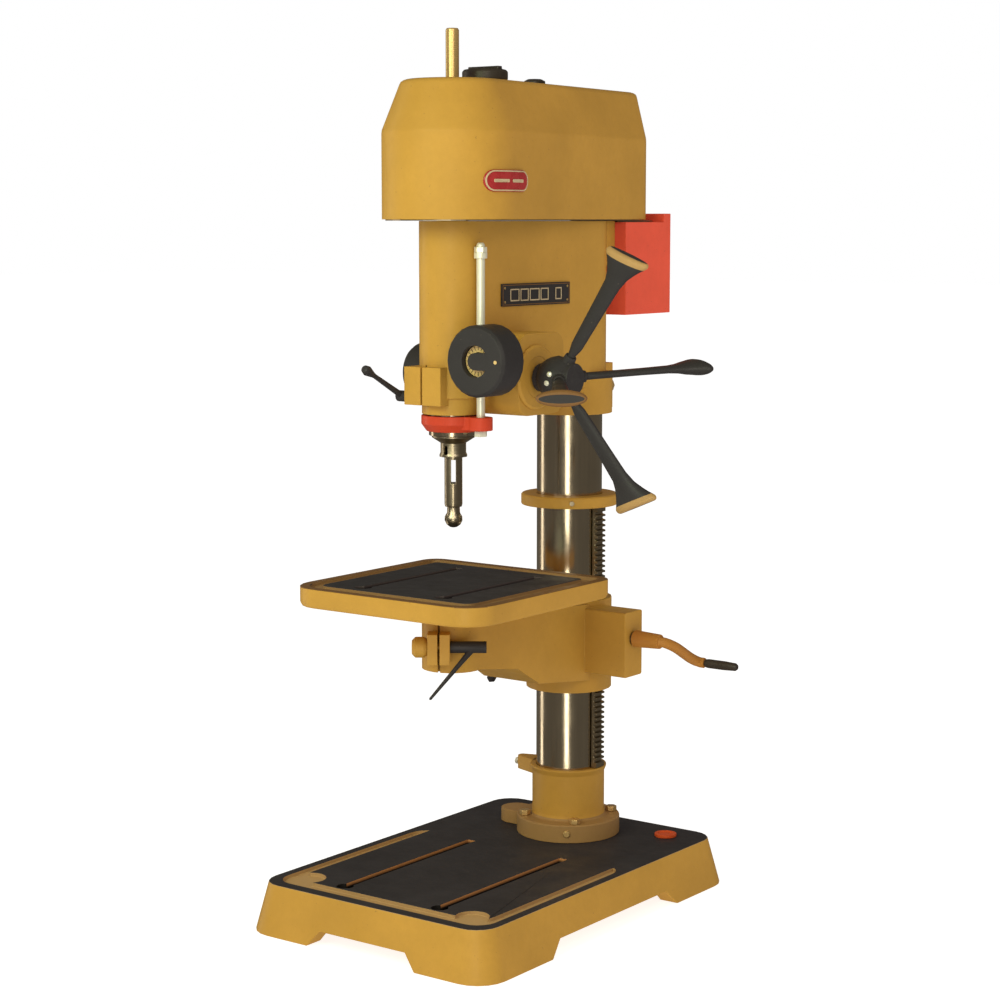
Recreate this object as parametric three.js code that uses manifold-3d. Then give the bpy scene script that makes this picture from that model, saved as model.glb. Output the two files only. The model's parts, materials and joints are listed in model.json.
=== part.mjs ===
// Column drill press: cast base, steel column, swinging and rising table, and a belt-driven drilling head.
// Millimetres, +Z up, -Y towards the operator. Every piece is its own closed solid in its own named mesh.
// The machine is laid out about its column axis, and the whole group is then moved so that the origin
// lies on the floor under the middle of the machine's bounding box.

import * as THREE from 'three';
import { mergeVertices } from 'three/addons/utils/BufferGeometryUtils.js';
import Module from 'manifold-3d';

const wasm = await Module();
wasm.setup();

// ---------------------------------------------------------------- driving dimensions

const ORIGIN_X = -43; // column axis, seen from the part's origin
const ORIGIN_Y = 160;

const GAP = 0.3; // clearance between pieces that touch
const BASE_TOP = 72;
const BASE = { halfWidth: 202, front: -492, back: 112, flare: 17, corner: 36 };
const COLUMN = { radius: 50, wall: 9, top: 1002 };
const FOOT = { flangeRadius: 80, flangeTop: 100, radius: 56, top: 180 };
const COLLAR = { radius: 74, bottom: 587, top: 604 };

const SPINDLE_Y = -291;
const HEAD = { bottom: 770, top: 1018, frontRadius: 48, rearRadius: 55 };
const QUILL = { radius: 35, bottom: 715, top: 965 };
const MODULE = 2.5; // of the quill's rack and its pinion
const PINION_TEETH = 14;
const PINION_RADIUS = (MODULE * PINION_TEETH) / 2;
const QUILL_RACK_LINE = 32.4; // from the spindle axis
const FEED_Y = SPINDLE_Y + QUILL_RACK_LINE + PINION_RADIUS;
const FEED_Z = 799;
const HUB_X = 148;
const ARM_DISH = THREE.MathUtils.degToRad(36); // of the feed handle's arms, away from the head
const ARM_LENGTH = 215;
const PADDLE = { width: 30, tilt: 0.6 }; // wider sections belong to an arm's end, which leans outwards
const ARM_ANGLES = [95, 4, -86, -176].map(THREE.MathUtils.degToRad);
const WORM = { x: 98, z: FEED_Z + 28, radius: 8 };
const WORM_BOSS = { back: -270, front: -312 };
const DRIFT_TURN = THREE.MathUtils.degToRad(36.5); // of the drift slot, from straight across
const DEPTH_ROD = { x: 57, y: -301.5, radius: 6 };

const HOOD = { bottom: 1020, shoulder: 1142, rim: 1211, crown: 1214, wall: 3 };
const HOOD_FRONT = { bottom: 100, rim: 73 }; // radii about the spindle axis
const HOOD_REAR = { bottom: 53, rim: 37 }; // radii about the motor axis
const MOTOR_Y = 112;
const TENSION_Y = -215;
const LATCH_Y = -94;
const BELT_Z = 1070;
const PULLEY_STEPS = [72, 62, 52]; // spindle pulley, from the bottom up
const MOTOR_STEPS = [24, 34, 44];
const STEP_HEIGHT = 18;

const TABLE = { y: -295, halfX: 168, halfY: 170, top: 503, thick: 28, corner: 50, rearCorner: 26 };
const STEM_RADIUS = 30;
const ARM = { bottom: 303, top: 444, hubRadius: 66, bossRadius: 44, bossBottom: 378, bossTop: 470 };
const CRANK = { y: -20, z: 394, bore: 9.6 };
const LIFT_MODULE = 2.5; // of the column rack and the pinion that climbs it
const LIFT_TEETH = 10;
const LIFT_RADIUS = (LIFT_MODULE * LIFT_TEETH) / 2;
const LIFT_RACK_LINE = 58; // from the column axis
const LIFT = { x: LIFT_RACK_LINE + LIFT_RADIUS, z: 372 };
const CLAMP = { reach: 54, z: 418, turn: THREE.MathUtils.degToRad(36.5) }; // seen from the table's axis

// ---------------------------------------------------------------- finishes

const finish = (color, roughness, metalness) => ({ color, roughness, metalness });
const OCHRE = finish(0xc9973f, 0.45, 0.1);
const RED = finish(0xd14a33, 0.4, 0.1);
const BLACK = finish(0x3b3936, 0.45, 0.2);
const STEEL = finish(0xb8b2a4, 0.25, 0.9);
const DARK_STEEL = finish(0x5d574b, 0.4, 0.8);
const BRASS = finish(0xc89a55, 0.35, 0.8);
const RUBBER = finish(0x262422, 0.8, 0);
const GREEN = finish(0x3f7d46, 0.4, 0);

// ---------------------------------------------------------------- solids

// A geometry as a manifold solid: only positions, shared vertices merged, faces turned outwards.
function toSolid(geometry) {
  const bare = new THREE.BufferGeometry();
  const flat = geometry.index ? geometry.toNonIndexed() : geometry;
  bare.setAttribute('position', flat.getAttribute('position').clone());
  const merged = mergeVertices(bare, 1e-4);
  const corners = merged.index.array;
  const kept = [];
  for (let i = 0; i < corners.length; i += 3) {
    const [a, b, c] = [corners[i], corners[i + 1], corners[i + 2]];
    if (a !== b && b !== c && a !== c) kept.push(a, b, c);
  }
  const build = (order) => new wasm.Manifold(new wasm.Mesh({
    numProp: 3,
    vertProperties: new Float32Array(merged.attributes.position.array),
    triVerts: new Uint32Array(order),
  }));
  const solid = build(kept);
  if (solid.volume() >= 0) return solid;
  return build(kept.reverse());
}

function toGeometry(solid) {
  const mesh = solid.getMesh();
  const geometry = new THREE.BufferGeometry();
  const positions = new Float32Array(mesh.vertProperties);
  geometry.setAttribute('position', new THREE.BufferAttribute(positions, 3));
  geometry.setIndex(new THREE.BufferAttribute(new Uint32Array(mesh.triVerts), 1));
  return geometry;
}

const join = (...parts) => toGeometry(parts.map(toSolid).reduce((a, b) => a.add(b)));
const cut = (body, ...tools) => toGeometry(
  tools.map(toSolid).reduce((a, b) => a.subtract(b), toSolid(body)),
);
const meet = (a, b) => toGeometry(toSolid(a).intersect(toSolid(b)));

// ---------------------------------------------------------------- basic shapes, all standing on the Z axis

function disc(radius, low, high, segments = 20, topRadius = radius) {
  const shape = new THREE.CylinderGeometry(topRadius, radius, high - low, segments);
  return shape.rotateX(Math.PI / 2).translate(0, 0, (low + high) / 2);
}

function tube(outer, inner, low, high, segments = 20) {
  return cut(disc(outer, low, high, segments), disc(inner, low - 1, high + 1, segments));
}

function block(x0, x1, y0, y1, z0, z1) {
  const shape = new THREE.BoxGeometry(x1 - x0, y1 - y0, z1 - z0);
  return shape.translate((x0 + x1) / 2, (y0 + y1) / 2, (z0 + z1) / 2);
}

// A turned piece from its profile of [radius, z] pairs.
function turned(profile, segments = 20) {
  const points = profile.map(([radius, z]) => new THREE.Vector2(radius, z));
  return new THREE.LatheGeometry(points, segments).rotateX(Math.PI / 2);
}

function plate(points, low, high) {
  const options = { depth: high - low, bevelEnabled: false };
  return new THREE.ExtrudeGeometry(new THREE.Shape(points), options).translate(0, 0, low);
}

const alongX = (geometry) => geometry.rotateY(Math.PI / 2);
const alongY = (geometry) => geometry.rotateX(-Math.PI / 2);
const towardsOperator = (geometry) => geometry.rotateX(Math.PI / 2);

function arc(centreX, centreY, radius, from, to, steps) {
  return Array.from({ length: steps + 1 }, (_, i) => {
    const angle = from + ((to - from) * i) / steps;
    return new THREE.Vector2(centreX + radius * Math.cos(angle), centreY + radius * Math.sin(angle));
  });
}

function roundedRectangle(x0, x1, y0, y1, radius, steps = 5, rearRadius = radius) {
  const quarter = Math.PI / 2;
  return [
    ...arc(x0 + radius, y0 + radius, radius, 2 * quarter, 3 * quarter, steps),
    ...arc(x1 - radius, y0 + radius, radius, 3 * quarter, 4 * quarter, steps),
    ...arc(x1 - rearRadius, y1 - rearRadius, rearRadius, 0, quarter, steps),
    ...arc(x0 + rearRadius, y1 - rearRadius, rearRadius, quarter, 2 * quarter, steps),
  ];
}

// The outline round two circles on the Y axis, the way a belt would lie.
function roundTwo(frontY, frontRadius, rearY, rearRadius, frontSteps = 16, rearSteps = 10) {
  const lean = Math.asin((frontRadius - rearRadius) / (rearY - frontY));
  return [
    ...arc(0, frontY, frontRadius, Math.PI - lean, 2 * Math.PI + lean, frontSteps),
    ...arc(0, rearY, rearRadius, lean, Math.PI - lean, rearSteps),
  ];
}

// A solid through convex rings of equal length, each a list of Vector3, closed flat at both ends.
function loft(rings) {
  const count = rings[0].length;
  const positions = [];
  const face = (...corners) => corners.forEach((p) => positions.push(p.x, p.y, p.z));
  for (let level = 0; level < rings.length - 1; level += 1) {
    const [low, high] = [rings[level], rings[level + 1]];
    for (let i = 0; i < count; i += 1) {
      const next = (i + 1) % count;
      face(low[i], low[next], high[next]);
      face(low[i], high[next], high[i]);
    }
  }
  const [first, last] = [rings[0], rings[rings.length - 1]];
  for (let i = 1; i < count - 1; i += 1) {
    face(first[0], first[i + 1], first[i]);
    face(last[0], last[i], last[i + 1]);
  }
  return new THREE.BufferGeometry().setAttribute('position', new THREE.Float32BufferAttribute(positions, 3));
}

const levelRing = (points, z) => points.map((p) => new THREE.Vector3(p.x, p.y, z));

// A straight-toothed wheel, with room between its teeth for those of its mate.
function gear(teeth, toothModule, width) {
  const pitch = (toothModule * teeth) / 2;
  const [root, tip] = [pitch - 1.3 * toothModule, pitch + 0.9 * toothModule];
  const step = (2 * Math.PI) / teeth;
  const points = [];
  for (let i = 0; i < teeth; i += 1) {
    const centre = i * step;
    for (const [radius, share] of [[root, -0.26], [tip, -0.08], [tip, 0.08], [root, 0.26]]) {
      const angle = centre + share * step;
      points.push(new THREE.Vector2(radius * Math.cos(angle), radius * Math.sin(angle)));
    }
  }
  return plate(points, -width / 2, width / 2);
}

// The gaps between rack teeth, to be cut from a face on +X: a row of wedges along Z.
function rackGap(toothModule, line, centreZ, halfWidth) {
  const pitch = Math.PI * toothModule;
  const [deep, shallow] = [0.17 * pitch, 0.42 * pitch];
  const [floor, mouth] = [line - 1.25 * toothModule, line + 2 * toothModule];
  const points = [[floor, -deep], [mouth, -shallow], [mouth, shallow], [floor, deep]];
  const wedge = plate(points.map(([x, z]) => new THREE.Vector2(x, z)), -halfWidth, halfWidth);
  return wedge.rotateX(Math.PI / 2).translate(0, 0, centreZ);
}

function hexagon(radius, low, high) {
  return disc(radius, low, high, 6);
}

// A rod with a round, turned end from one point to another.
function between(from, to, geometry) {
  const [start, end] = [new THREE.Vector3(...from), new THREE.Vector3(...to)];
  const turn = new THREE.Quaternion().setFromUnitVectors(
    new THREE.Vector3(0, 0, 1),
    end.clone().sub(start).normalize(),
  );
  return geometry.applyQuaternion(turn).translate(start.x, start.y, start.z);
}

// ---------------------------------------------------------------- the machine

const machine = new THREE.Group();
machine.position.set(ORIGIN_X, ORIGIN_Y, 0);

function add(name, geometry, look, x = 0, y = 0, z = 0) {
  const clean = toGeometry(toSolid(geometry));
  clean.computeVertexNormals();
  const mesh = new THREE.Mesh(clean, new THREE.MeshStandardMaterial(look));
  mesh.name = name;
  mesh.position.set(x, y, z);
  machine.add(mesh);
  return mesh;
}

// T-slot: a neck at the surface over a wider head, with a round entry for the bolt at its front end.
function teeSlot(x, front, back, surface) {
  return join(
    block(x - 7, x + 7, front, back, surface - 9, surface + 1),
    block(x - 12, x + 12, front, back, surface - 18, surface - 9 + 0.01),
    disc(12.5, surface - 18, surface + 1, 12).translate(x, front, 0),
  );
}

function addBase() {
  const { halfWidth: w, front, back, flare, corner } = BASE;
  const outline = (grow, radius) => roundedRectangle(-w - grow, w + grow, front - grow, back + grow, radius);
  const body = loft([
    levelRing(outline(flare, corner + 10), 0),
    levelRing(outline(0, corner), BASE_TOP),
  ]);
  const hollow = plate(outline(-14, corner - 14), -1, BASE_TOP - 30);
  const sideNotch = loft([
    [[-300, -188 - 163, -1], [300, -188 - 163, -1], [300, -188 + 163, -1], [-300, -188 + 163, -1]],
    [[-300, -188 - 137, 23], [300, -188 - 137, 23], [300, -188 + 137, 23], [-300, -188 + 137, 23]],
  ].map((ring) => ring.map((p) => new THREE.Vector3(...p))));
  const endNotch = loft([
    [[-98, -700, -1], [98, -700, -1], [98, 300, -1], [-98, 300, -1]],
    [[-77, -700, 23], [77, -700, 23], [77, 300, 23], [-77, 300, 23]],
  ].map((ring) => ring.map((p) => new THREE.Vector3(...p))));
  const gutterDepth = 6;
  const gutterFloor = BASE_TOP - gutterDepth;
  const gutter = cut(
    join(
      plate(roundedRectangle(-188, 188, -474, -127, 30), gutterFloor, BASE_TOP + 1),
      disc(20, gutterFloor, BASE_TOP + 1, 12).translate(-160, -446, 0),
    ),
    plate(roundedRectangle(-172, 172, -451, -60, 26), gutterFloor - 1, BASE_TOP + 2),
  );
  const pools = [[-156, -436, 26], [146, -440, 24]].map(
    ([x, y, r]) => disc(r, gutterFloor, BASE_TOP + 1, 24).translate(x, y, 0),
  );
  const plugHole = disc(12, BASE_TOP - 40, BASE_TOP + 1, 12).translate(142, 60, 0);
  const shaped = cut(
    body, hollow, sideNotch, endNotch, gutter, ...pools,
    teeSlot(-86, -436, -136, BASE_TOP), teeSlot(86, -436, -136, BASE_TOP), plugHole,
  );
  add('base_casting', shaped, OCHRE);
  const plug = join(disc(17, BASE_TOP + GAP, BASE_TOP + 5, 24), disc(11.6, BASE_TOP - 14, BASE_TOP + 1, 12));
  add('base_sump_plug', plug, RED, 142, 60, 0);
}

function addColumn() {
  const { radius, wall, top } = COLUMN;
  add('column', tube(radius, radius - wall, BASE_TOP + GAP, top, 40), STEEL);

  const bore = disc(radius + GAP, 0, 400, 32);
  const ear = join(
    block(-100, -60, -24, 24, BASE_TOP + GAP, FOOT.flangeTop - 6),
    disc(24, BASE_TOP + GAP, FOOT.flangeTop - 6, 12).translate(-100, 0, 0),
  );
  const lug = loft([
    [[-50, -20], [-94, -9], [-94, 9], [-50, 20]].map(([x, y]) => new THREE.Vector3(x, y, FOOT.top - 22)),
    [[-50, -22], [-94, -11], [-94, 11], [-50, 22]].map(([x, y]) => new THREE.Vector3(x, y, FOOT.top)),
  ]);
  const rim = disc(FOOT.radius, FOOT.top - 8, FOOT.top, 40, FOOT.radius + 3);
  const socket = join(
    disc(FOOT.flangeRadius, BASE_TOP + GAP, FOOT.flangeTop, 24),
    disc(FOOT.radius, BASE_TOP + GAP, FOOT.top, 24),
    ear, lug, rim,
  );
  const boltHole = (x, y) => disc(6.4, BASE_TOP - 1, FOOT.flangeTop + 1, 12).translate(x, y, 0);
  const screwHole = alongX(disc(4, -130, -40, 12)).translate(0, 0, FOOT.top - 11);
  const bolts = [[47, -50], [-47, -50], [47, 50], [-47, 50]];
  add('column_foot', cut(socket, bore, screwHole, ...bolts.map(([x, y]) => boltHole(x, y))), OCHRE);
  bolts.forEach(([x, y], i) => {
    const bolt = join(
      hexagon(9, FOOT.flangeTop + GAP, FOOT.flangeTop + 8),
      disc(6, BASE_TOP + GAP, FOOT.flangeTop + 1, 12),
    );
    add(`foot_bolt_${i + 1}`, bolt, STEEL, x, y, 0);
  });

  const ring = cut(disc(COLLAR.radius, COLLAR.bottom, COLLAR.top, 24), disc(radius + GAP, 500, 700, 32));
  const screwSeat = alongX(disc(4.3, -80, -40, 12)).translate(0, 0, (COLLAR.bottom + COLLAR.top) / 2);
  add('rack_collar', cut(ring, screwSeat), OCHRE);
}

function addHead() {
  const { bottom, top, frontRadius, rearRadius } = HEAD;
  const outline = roundTwo(SPINDLE_Y, frontRadius, 0, rearRadius);
  const quillBlock = block(-43, 22, -349, -300, bottom - 10, 814);
  const nose = disc(45, 746, bottom + 1, 24).translate(0, SPINDLE_Y, 0);
  const columnBoss = disc(65, 728, 790, 24);
  const ears = block(-17, 17, 50, 93, 730, 800);
  const gearboxOutline = roundedRectangle(-62, 54, -40, 70, 22, 4);
  const gearbox = alongX(plate(gearboxOutline, 30, 108)).translate(0, FEED_Y, FEED_Z);
  const springBoss = alongX(disc(30, -52, -30, 24)).translate(0, FEED_Y, FEED_Z);
  const wormBoss = towardsOperator(disc(10, -WORM_BOSS.back, -WORM_BOSS.front, 12))
    .translate(WORM.x, 0, WORM.z);
  const rodGuide = join(
    block(40, 60, -311, -292, 848, 868),
    disc(11, 848, 868, 12).translate(DEPTH_ROD.x, DEPTH_ROD.y, 0),
  );
  const motorPad = block(-40, 40, 40, 62, 950, top);
  const body = join(
    plate(outline, bottom, top), quillBlock, nose, columnBoss, ears, gearbox, springBoss, wormBoss, rodGuide,
    motorPad,
  );
  const pocket = plate(roundedRectangle(-34, 34, -200, -76, 14, 3), bottom + 24, top + 1);
  const cuts = [
    disc(COLUMN.radius + GAP, 700, COLUMN.top + 4, 32),
    disc(QUILL.radius + GAP, 700, QUILL.top + 8, 32).translate(0, SPINDLE_Y, 0),
    disc(31 + GAP, QUILL.top, top + 1, 24).translate(0, SPINDLE_Y, 0),
    alongX(disc(21.5, -18, 18, 24)).translate(0, FEED_Y, FEED_Z),
    alongX(disc(12 + GAP, -70, 120, 24)).translate(0, FEED_Y, FEED_Z),
    alongX(disc(38, 62, 120, 24)).translate(0, FEED_Y, FEED_Z),
    towardsOperator(disc(7 + GAP, -FEED_Y - 8, 330, 12)).translate(WORM.x, 0, WORM.z),
    towardsOperator(disc(9, -FEED_Y - 10, -FEED_Y + 21, 12)).translate(WORM.x, 0, WORM.z),
    towardsOperator(disc(5 + GAP, -FEED_Y - 28, -FEED_Y, 12)).translate(WORM.x, 0, WORM.z),
    disc(DEPTH_ROD.radius + GAP, 840, 880, 12).translate(DEPTH_ROD.x, DEPTH_ROD.y, 0),
    block(-14, -11, -352, -320, bottom - 12, 816),
    alongX(disc(5 + GAP, -60, 18, 12)).translate(0, -338, bottom + 1),
    block(-1.5, 1.5, 45, 95, 700, 802),
    alongX(disc(5 + GAP, -20, 20, 12)).translate(0, 78, 765),
    pocket,
  ];
  add('head_casting', cut(body, ...cuts), OCHRE);

  const bolt = join(
    alongX(disc(5, -27, 22, 12)),
    alongX(hexagon(9, 17 + GAP, 25)),
    alongX(hexagon(9, -25, -17 - GAP)),
  );
  add('head_clamp_bolt', bolt, STEEL, 0, 78, 765);
  const coverRim = alongX(disc(46, 108 + GAP, 113, 28, 43));
  add('gearbox_cover', cut(coverRim, alongX(disc(12 + GAP, 100, 120, 24))), OCHRE, 0, FEED_Y, FEED_Z);
  const lean = Math.asin((frontRadius - rearRadius) / -SPINDLE_Y);
  const sign = add('name_plate', block(0, 2.2, -82, 82, -16, 16), BLACK);
  const [out, along] = [frontRadius + GAP, 130]; // of the plate's centre, off the head's side and along it
  const [sin, cos] = [Math.sin(lean), Math.cos(lean)];
  sign.rotation.z = lean;
  sign.position.set(out * cos - along * sin, SPINDLE_Y + out * sin + along * cos, 913);
}

// The quill and everything that travels with it.
function addQuill() {
  const { radius, bottom, top } = QUILL;
  const bearingRadius = 27;
  const sleeve = cut(
    disc(radius, bottom, top, 32),
    disc(20, bottom - 1, top + 1, 24),
    disc(bearingRadius + GAP, bottom - 1, bottom + 16, 24),
    disc(bearingRadius + GAP, top - 16, top + 1, 24),
  );
  const gaps = Array.from({ length: 14 }, (_, i) => i - 2).map((i) => (
    rackGap(MODULE, QUILL_RACK_LINE, FEED_Z + i * Math.PI * MODULE, 22).rotateZ(Math.PI / 2)
  ));
  add('quill', cut(sleeve, ...gaps), STEEL, 0, SPINDLE_Y, 0);
  for (const [name, z] of [['quill_bearing_lower', bottom + 1], ['quill_bearing_upper', top - 15]]) {
    add(name, tube(bearingRadius, 14 + GAP, z, z + 14), STEEL, 0, SPINDLE_Y, 0);
  }

  const ear = join(
    plate(roundedRectangle(20, DEPTH_ROD.x, -24, 6, 4, 2), 725, 744),
    disc(17, 725, 744, 24).translate(DEPTH_ROD.x, DEPTH_ROD.y - SPINDLE_Y, 0),
  );
  const collar = cut(
    join(turned([[0, 721], [38, 721], [46, 732], [46, 744], [0, 744]], 24), ear),
    disc(radius + GAP, 700, 760, 32),
    disc(DEPTH_ROD.radius + GAP, 700, 760, 12).translate(DEPTH_ROD.x, DEPTH_ROD.y - SPINDLE_Y, 0),
  );
  add('quill_collar', collar, RED, 0, SPINDLE_Y, 0);

  const rod = turned([[0, 717], [4, 717], [6, 720], [6, 985], [4, 988], [0, 988]], 12);
  add('depth_rod', rod, STEEL, DEPTH_ROD.x, DEPTH_ROD.y, 0);
  const nut = cut(
    join(disc(9.4, 966, 974, 16), hexagon(9.2, 974, 982)),
    disc(6 + GAP, 960, 987, 12),
  );
  add('depth_stop_nut', nut, STEEL, DEPTH_ROD.x, DEPTH_ROD.y, 0);
}

// The spindle turns inside the quill, and its splined top slides through the pulley's sleeve.
function addSpindle() {
  const noseEnd = 684;
  const spindle = turned([
    [0, noseEnd], [20, noseEnd], [20, noseEnd + 3], [18.5, noseEnd + 6], [18.5, 704], [31, 712], [31, 714.4],
    [14, 714.4], [14, QUILL.top + 12], [9.5, QUILL.top + 20], [9.5, 1282], [8, 1285], [0, 1285],
  ], 24);
  const socket = disc(13 + GAP, 670, 724, 24);
  const driftSlot = block(-3.4, 3.4, -30, 30, 688, 700);
  add('spindle', cut(spindle, socket, driftSlot), BRASS, 0, SPINDLE_Y, 0);

  const sleeve = cut(
    turned([[0, 612], [12, 612], [13, 616], [13, 722], [0, 722]], 24),
    disc(6 + GAP, 600, 640, 12),
    block(-3.4, 3.4, -20, 20, 646, 680).rotateZ(DRIFT_TURN),
  );
  add('drill_sleeve', sleeve, DARK_STEEL, 0, SPINDLE_Y, 0);
  const tool = turned([
    [0, 581.5], [5, 582.5], [10, 586], [13, 592], [12.6, 598], [9.5, 603], [9.2, 611.7],
    [6, 611.7], [6, 638], [0, 638],
  ], 12);
  const flutes = [0, 1, 2].map((i) => (
    block(9.5, 16, -2.2, 2.2, 578, 600).rotateZ((i * 2 * Math.PI) / 3)
  ));
  add('countersink', cut(tool, ...flutes), DARK_STEEL, 0, SPINDLE_Y, 0);
}

// A stepped pulley; each step is a V groove between two flanges.
function steppedPulley(steps, bottom) {
  const profile = [[0, bottom]];
  steps.forEach((radius, i) => {
    const low = bottom + i * STEP_HEIGHT;
    const [outer, floor] = [radius + 3, radius - 5];
    profile.push([outer, low], [floor, low + 5], [floor, low + 13], [outer, low + STEP_HEIGHT]);
  });
  profile.push([0, bottom + steps.length * STEP_HEIGHT]);
  return turned(profile, 24);
}

function addDrive() {
  const bottom = BELT_Z - 9 - STEP_HEIGHT;
  const hub = disc(22, 990, bottom + 1, 24);
  const bore = disc(9.5 + GAP, 980, 1200, 24);
  const spindlePulley = cut(join(steppedPulley(PULLEY_STEPS, bottom), hub), bore);
  add('spindle_pulley', spindlePulley, STEEL, 0, SPINDLE_Y, 0);
  add('sleeve_bearing', tube(31, 22 + GAP, 996, 1012), STEEL, 0, SPINDLE_Y, 0);

  const motorPulley = cut(steppedPulley(MOTOR_STEPS, bottom), disc(8 + GAP, 900, 1200, 12));
  add('motor_pulley', motorPulley, STEEL, 0, MOTOR_Y, 0);
  const rotor = join(disc(8, 884, bottom + 3 * STEP_HEIGHT + 3, 12), disc(24, 905, 985, 24));
  add('motor_rotor', rotor, STEEL, 0, MOTOR_Y, 0);
  const stator = cut(
    disc(48, 892, 998, 24),
    disc(26, 900, 990, 24),
    disc(8 + GAP, 880, 1000, 12),
    block(-4, 4, -50, 0, 930, 960),
  );
  add('motor_stator', stator, DARK_STEEL, 0, MOTOR_Y, 0);

  const [large, small] = [PULLEY_STEPS[1], MOTOR_STEPS[1]];
  const loop = (grow) => roundTwo(SPINDLE_Y, large + grow, MOTOR_Y, small + grow, 24, 16);
  const belt = cut(plate(loop(2.4), BELT_Z - 3.6, BELT_Z + 3.6), plate(loop(-4), BELT_Z - 6, BELT_Z + 6));
  add('drive_belt', belt, RUBBER);

  const panOutline = roundTwo(SPINDLE_Y, HOOD_FRONT.bottom - 5, MOTOR_Y, HOOD_REAR.bottom - 5);
  const pan = cut(
    join(
      plate(panOutline, HEAD.top + GAP, HEAD.top + 3),
      block(-46, 46, 66, 158, 1001, HEAD.top + 1),
    ),
    disc(24, 1000, 1040, 24).translate(0, SPINDLE_Y, 0),
    disc(12, 1000, 1040, 24).translate(0, MOTOR_Y, 0),
  );
  add('hood_floor', pan, DARK_STEEL);
}

function addHood() {
  const { bottom, shoulder, rim, crown, wall } = HOOD;
  const ring = (front, rear, z) => levelRing(roundTwo(SPINDLE_Y, front, MOTOR_Y, rear), z);
  const outer = loft([
    ring(HOOD_FRONT.bottom, HOOD_REAR.bottom, bottom),
    ring(HOOD_FRONT.bottom, HOOD_REAR.bottom, shoulder),
    ring(HOOD_FRONT.rim, HOOD_REAR.rim, rim),
    ring(HOOD_FRONT.rim - 8, HOOD_REAR.rim - 8, crown),
  ]);
  const inner = loft([
    ring(HOOD_FRONT.bottom - wall, HOOD_REAR.bottom - wall, bottom - 1),
    ring(HOOD_FRONT.bottom - wall, HOOD_REAR.bottom - wall, shoulder - 1),
    ring(HOOD_FRONT.rim - wall, HOOD_REAR.rim - wall, rim - wall),
  ]);
  const holes = [
    disc(12, 1200, 1230, 24).translate(0, SPINDLE_Y, 0),
    disc(5 + GAP, 1200, 1230, 12).translate(0, TENSION_Y, 0),
    disc(5 + GAP, 1200, 1230, 12).translate(0, LATCH_Y, 0),
  ];
  add('hood', cut(outer, inner, ...holes), OCHRE);

  const grip = block(-27, 27, -5, 5, 17, 22);
  const tension = join(turned([[0, 0], [30, 0], [33, 4], [33, 14], [30, 17.5], [0, 17.5]], 24), grip,
    disc(5, -24, 1, 12));
  add('tension_knob', tension, BLACK, 0, TENSION_Y, HOOD.crown + GAP);
  const latch = join(turned([[0, 0], [13, 0], [16, 3], [16, 7], [10, 10], [0, 10]], 12), disc(5, -24, 1, 12));
  add('hood_latch_knob', latch, BLACK, 0, LATCH_Y, HOOD.crown + GAP);

  const band = (grow) => roundTwo(SPINDLE_Y, HOOD_FRONT.bottom + grow, MOTOR_Y, HOOD_REAR.bottom + grow);
  const skin = cut(plate(band(3), 1050, 1096), plate(band(GAP), 1040, 1106));
  const lozenge = plate(roundedRectangle(-15, 15, -46, 46, 14.9, 5), 40, 140).rotateY(Math.PI / 2);
  add('hood_badge', meet(skin, lozenge.translate(0, -292, 1073)), RED);
}

function addMotorShroud() {
  const [low, high, rearHigh] = [875, 1016, 1029];
  const shell = join(
    block(-60, 60, 62 + GAP, 189, low, high),
    block(-60, 60, 170, 189, low, rearHigh),
  );
  const inner = join(
    block(-57.5, 57.5, 64.8, 186.5, low + 2.5, 999),
    block(-20, 20, 60, 66, low + 2.5, 999),
  );
  const topHole = block(-48, 48, 65, 160, 990, 1020);
  const vents = [-2, -1, 0, 1, 2].map((i) => block(i * 16 - 4, i * 16 + 4, 90, 160, low - 1, low + 4));
  add('motor_shroud', cut(shell, inner, topHole, ...vents), RED);
}

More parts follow.
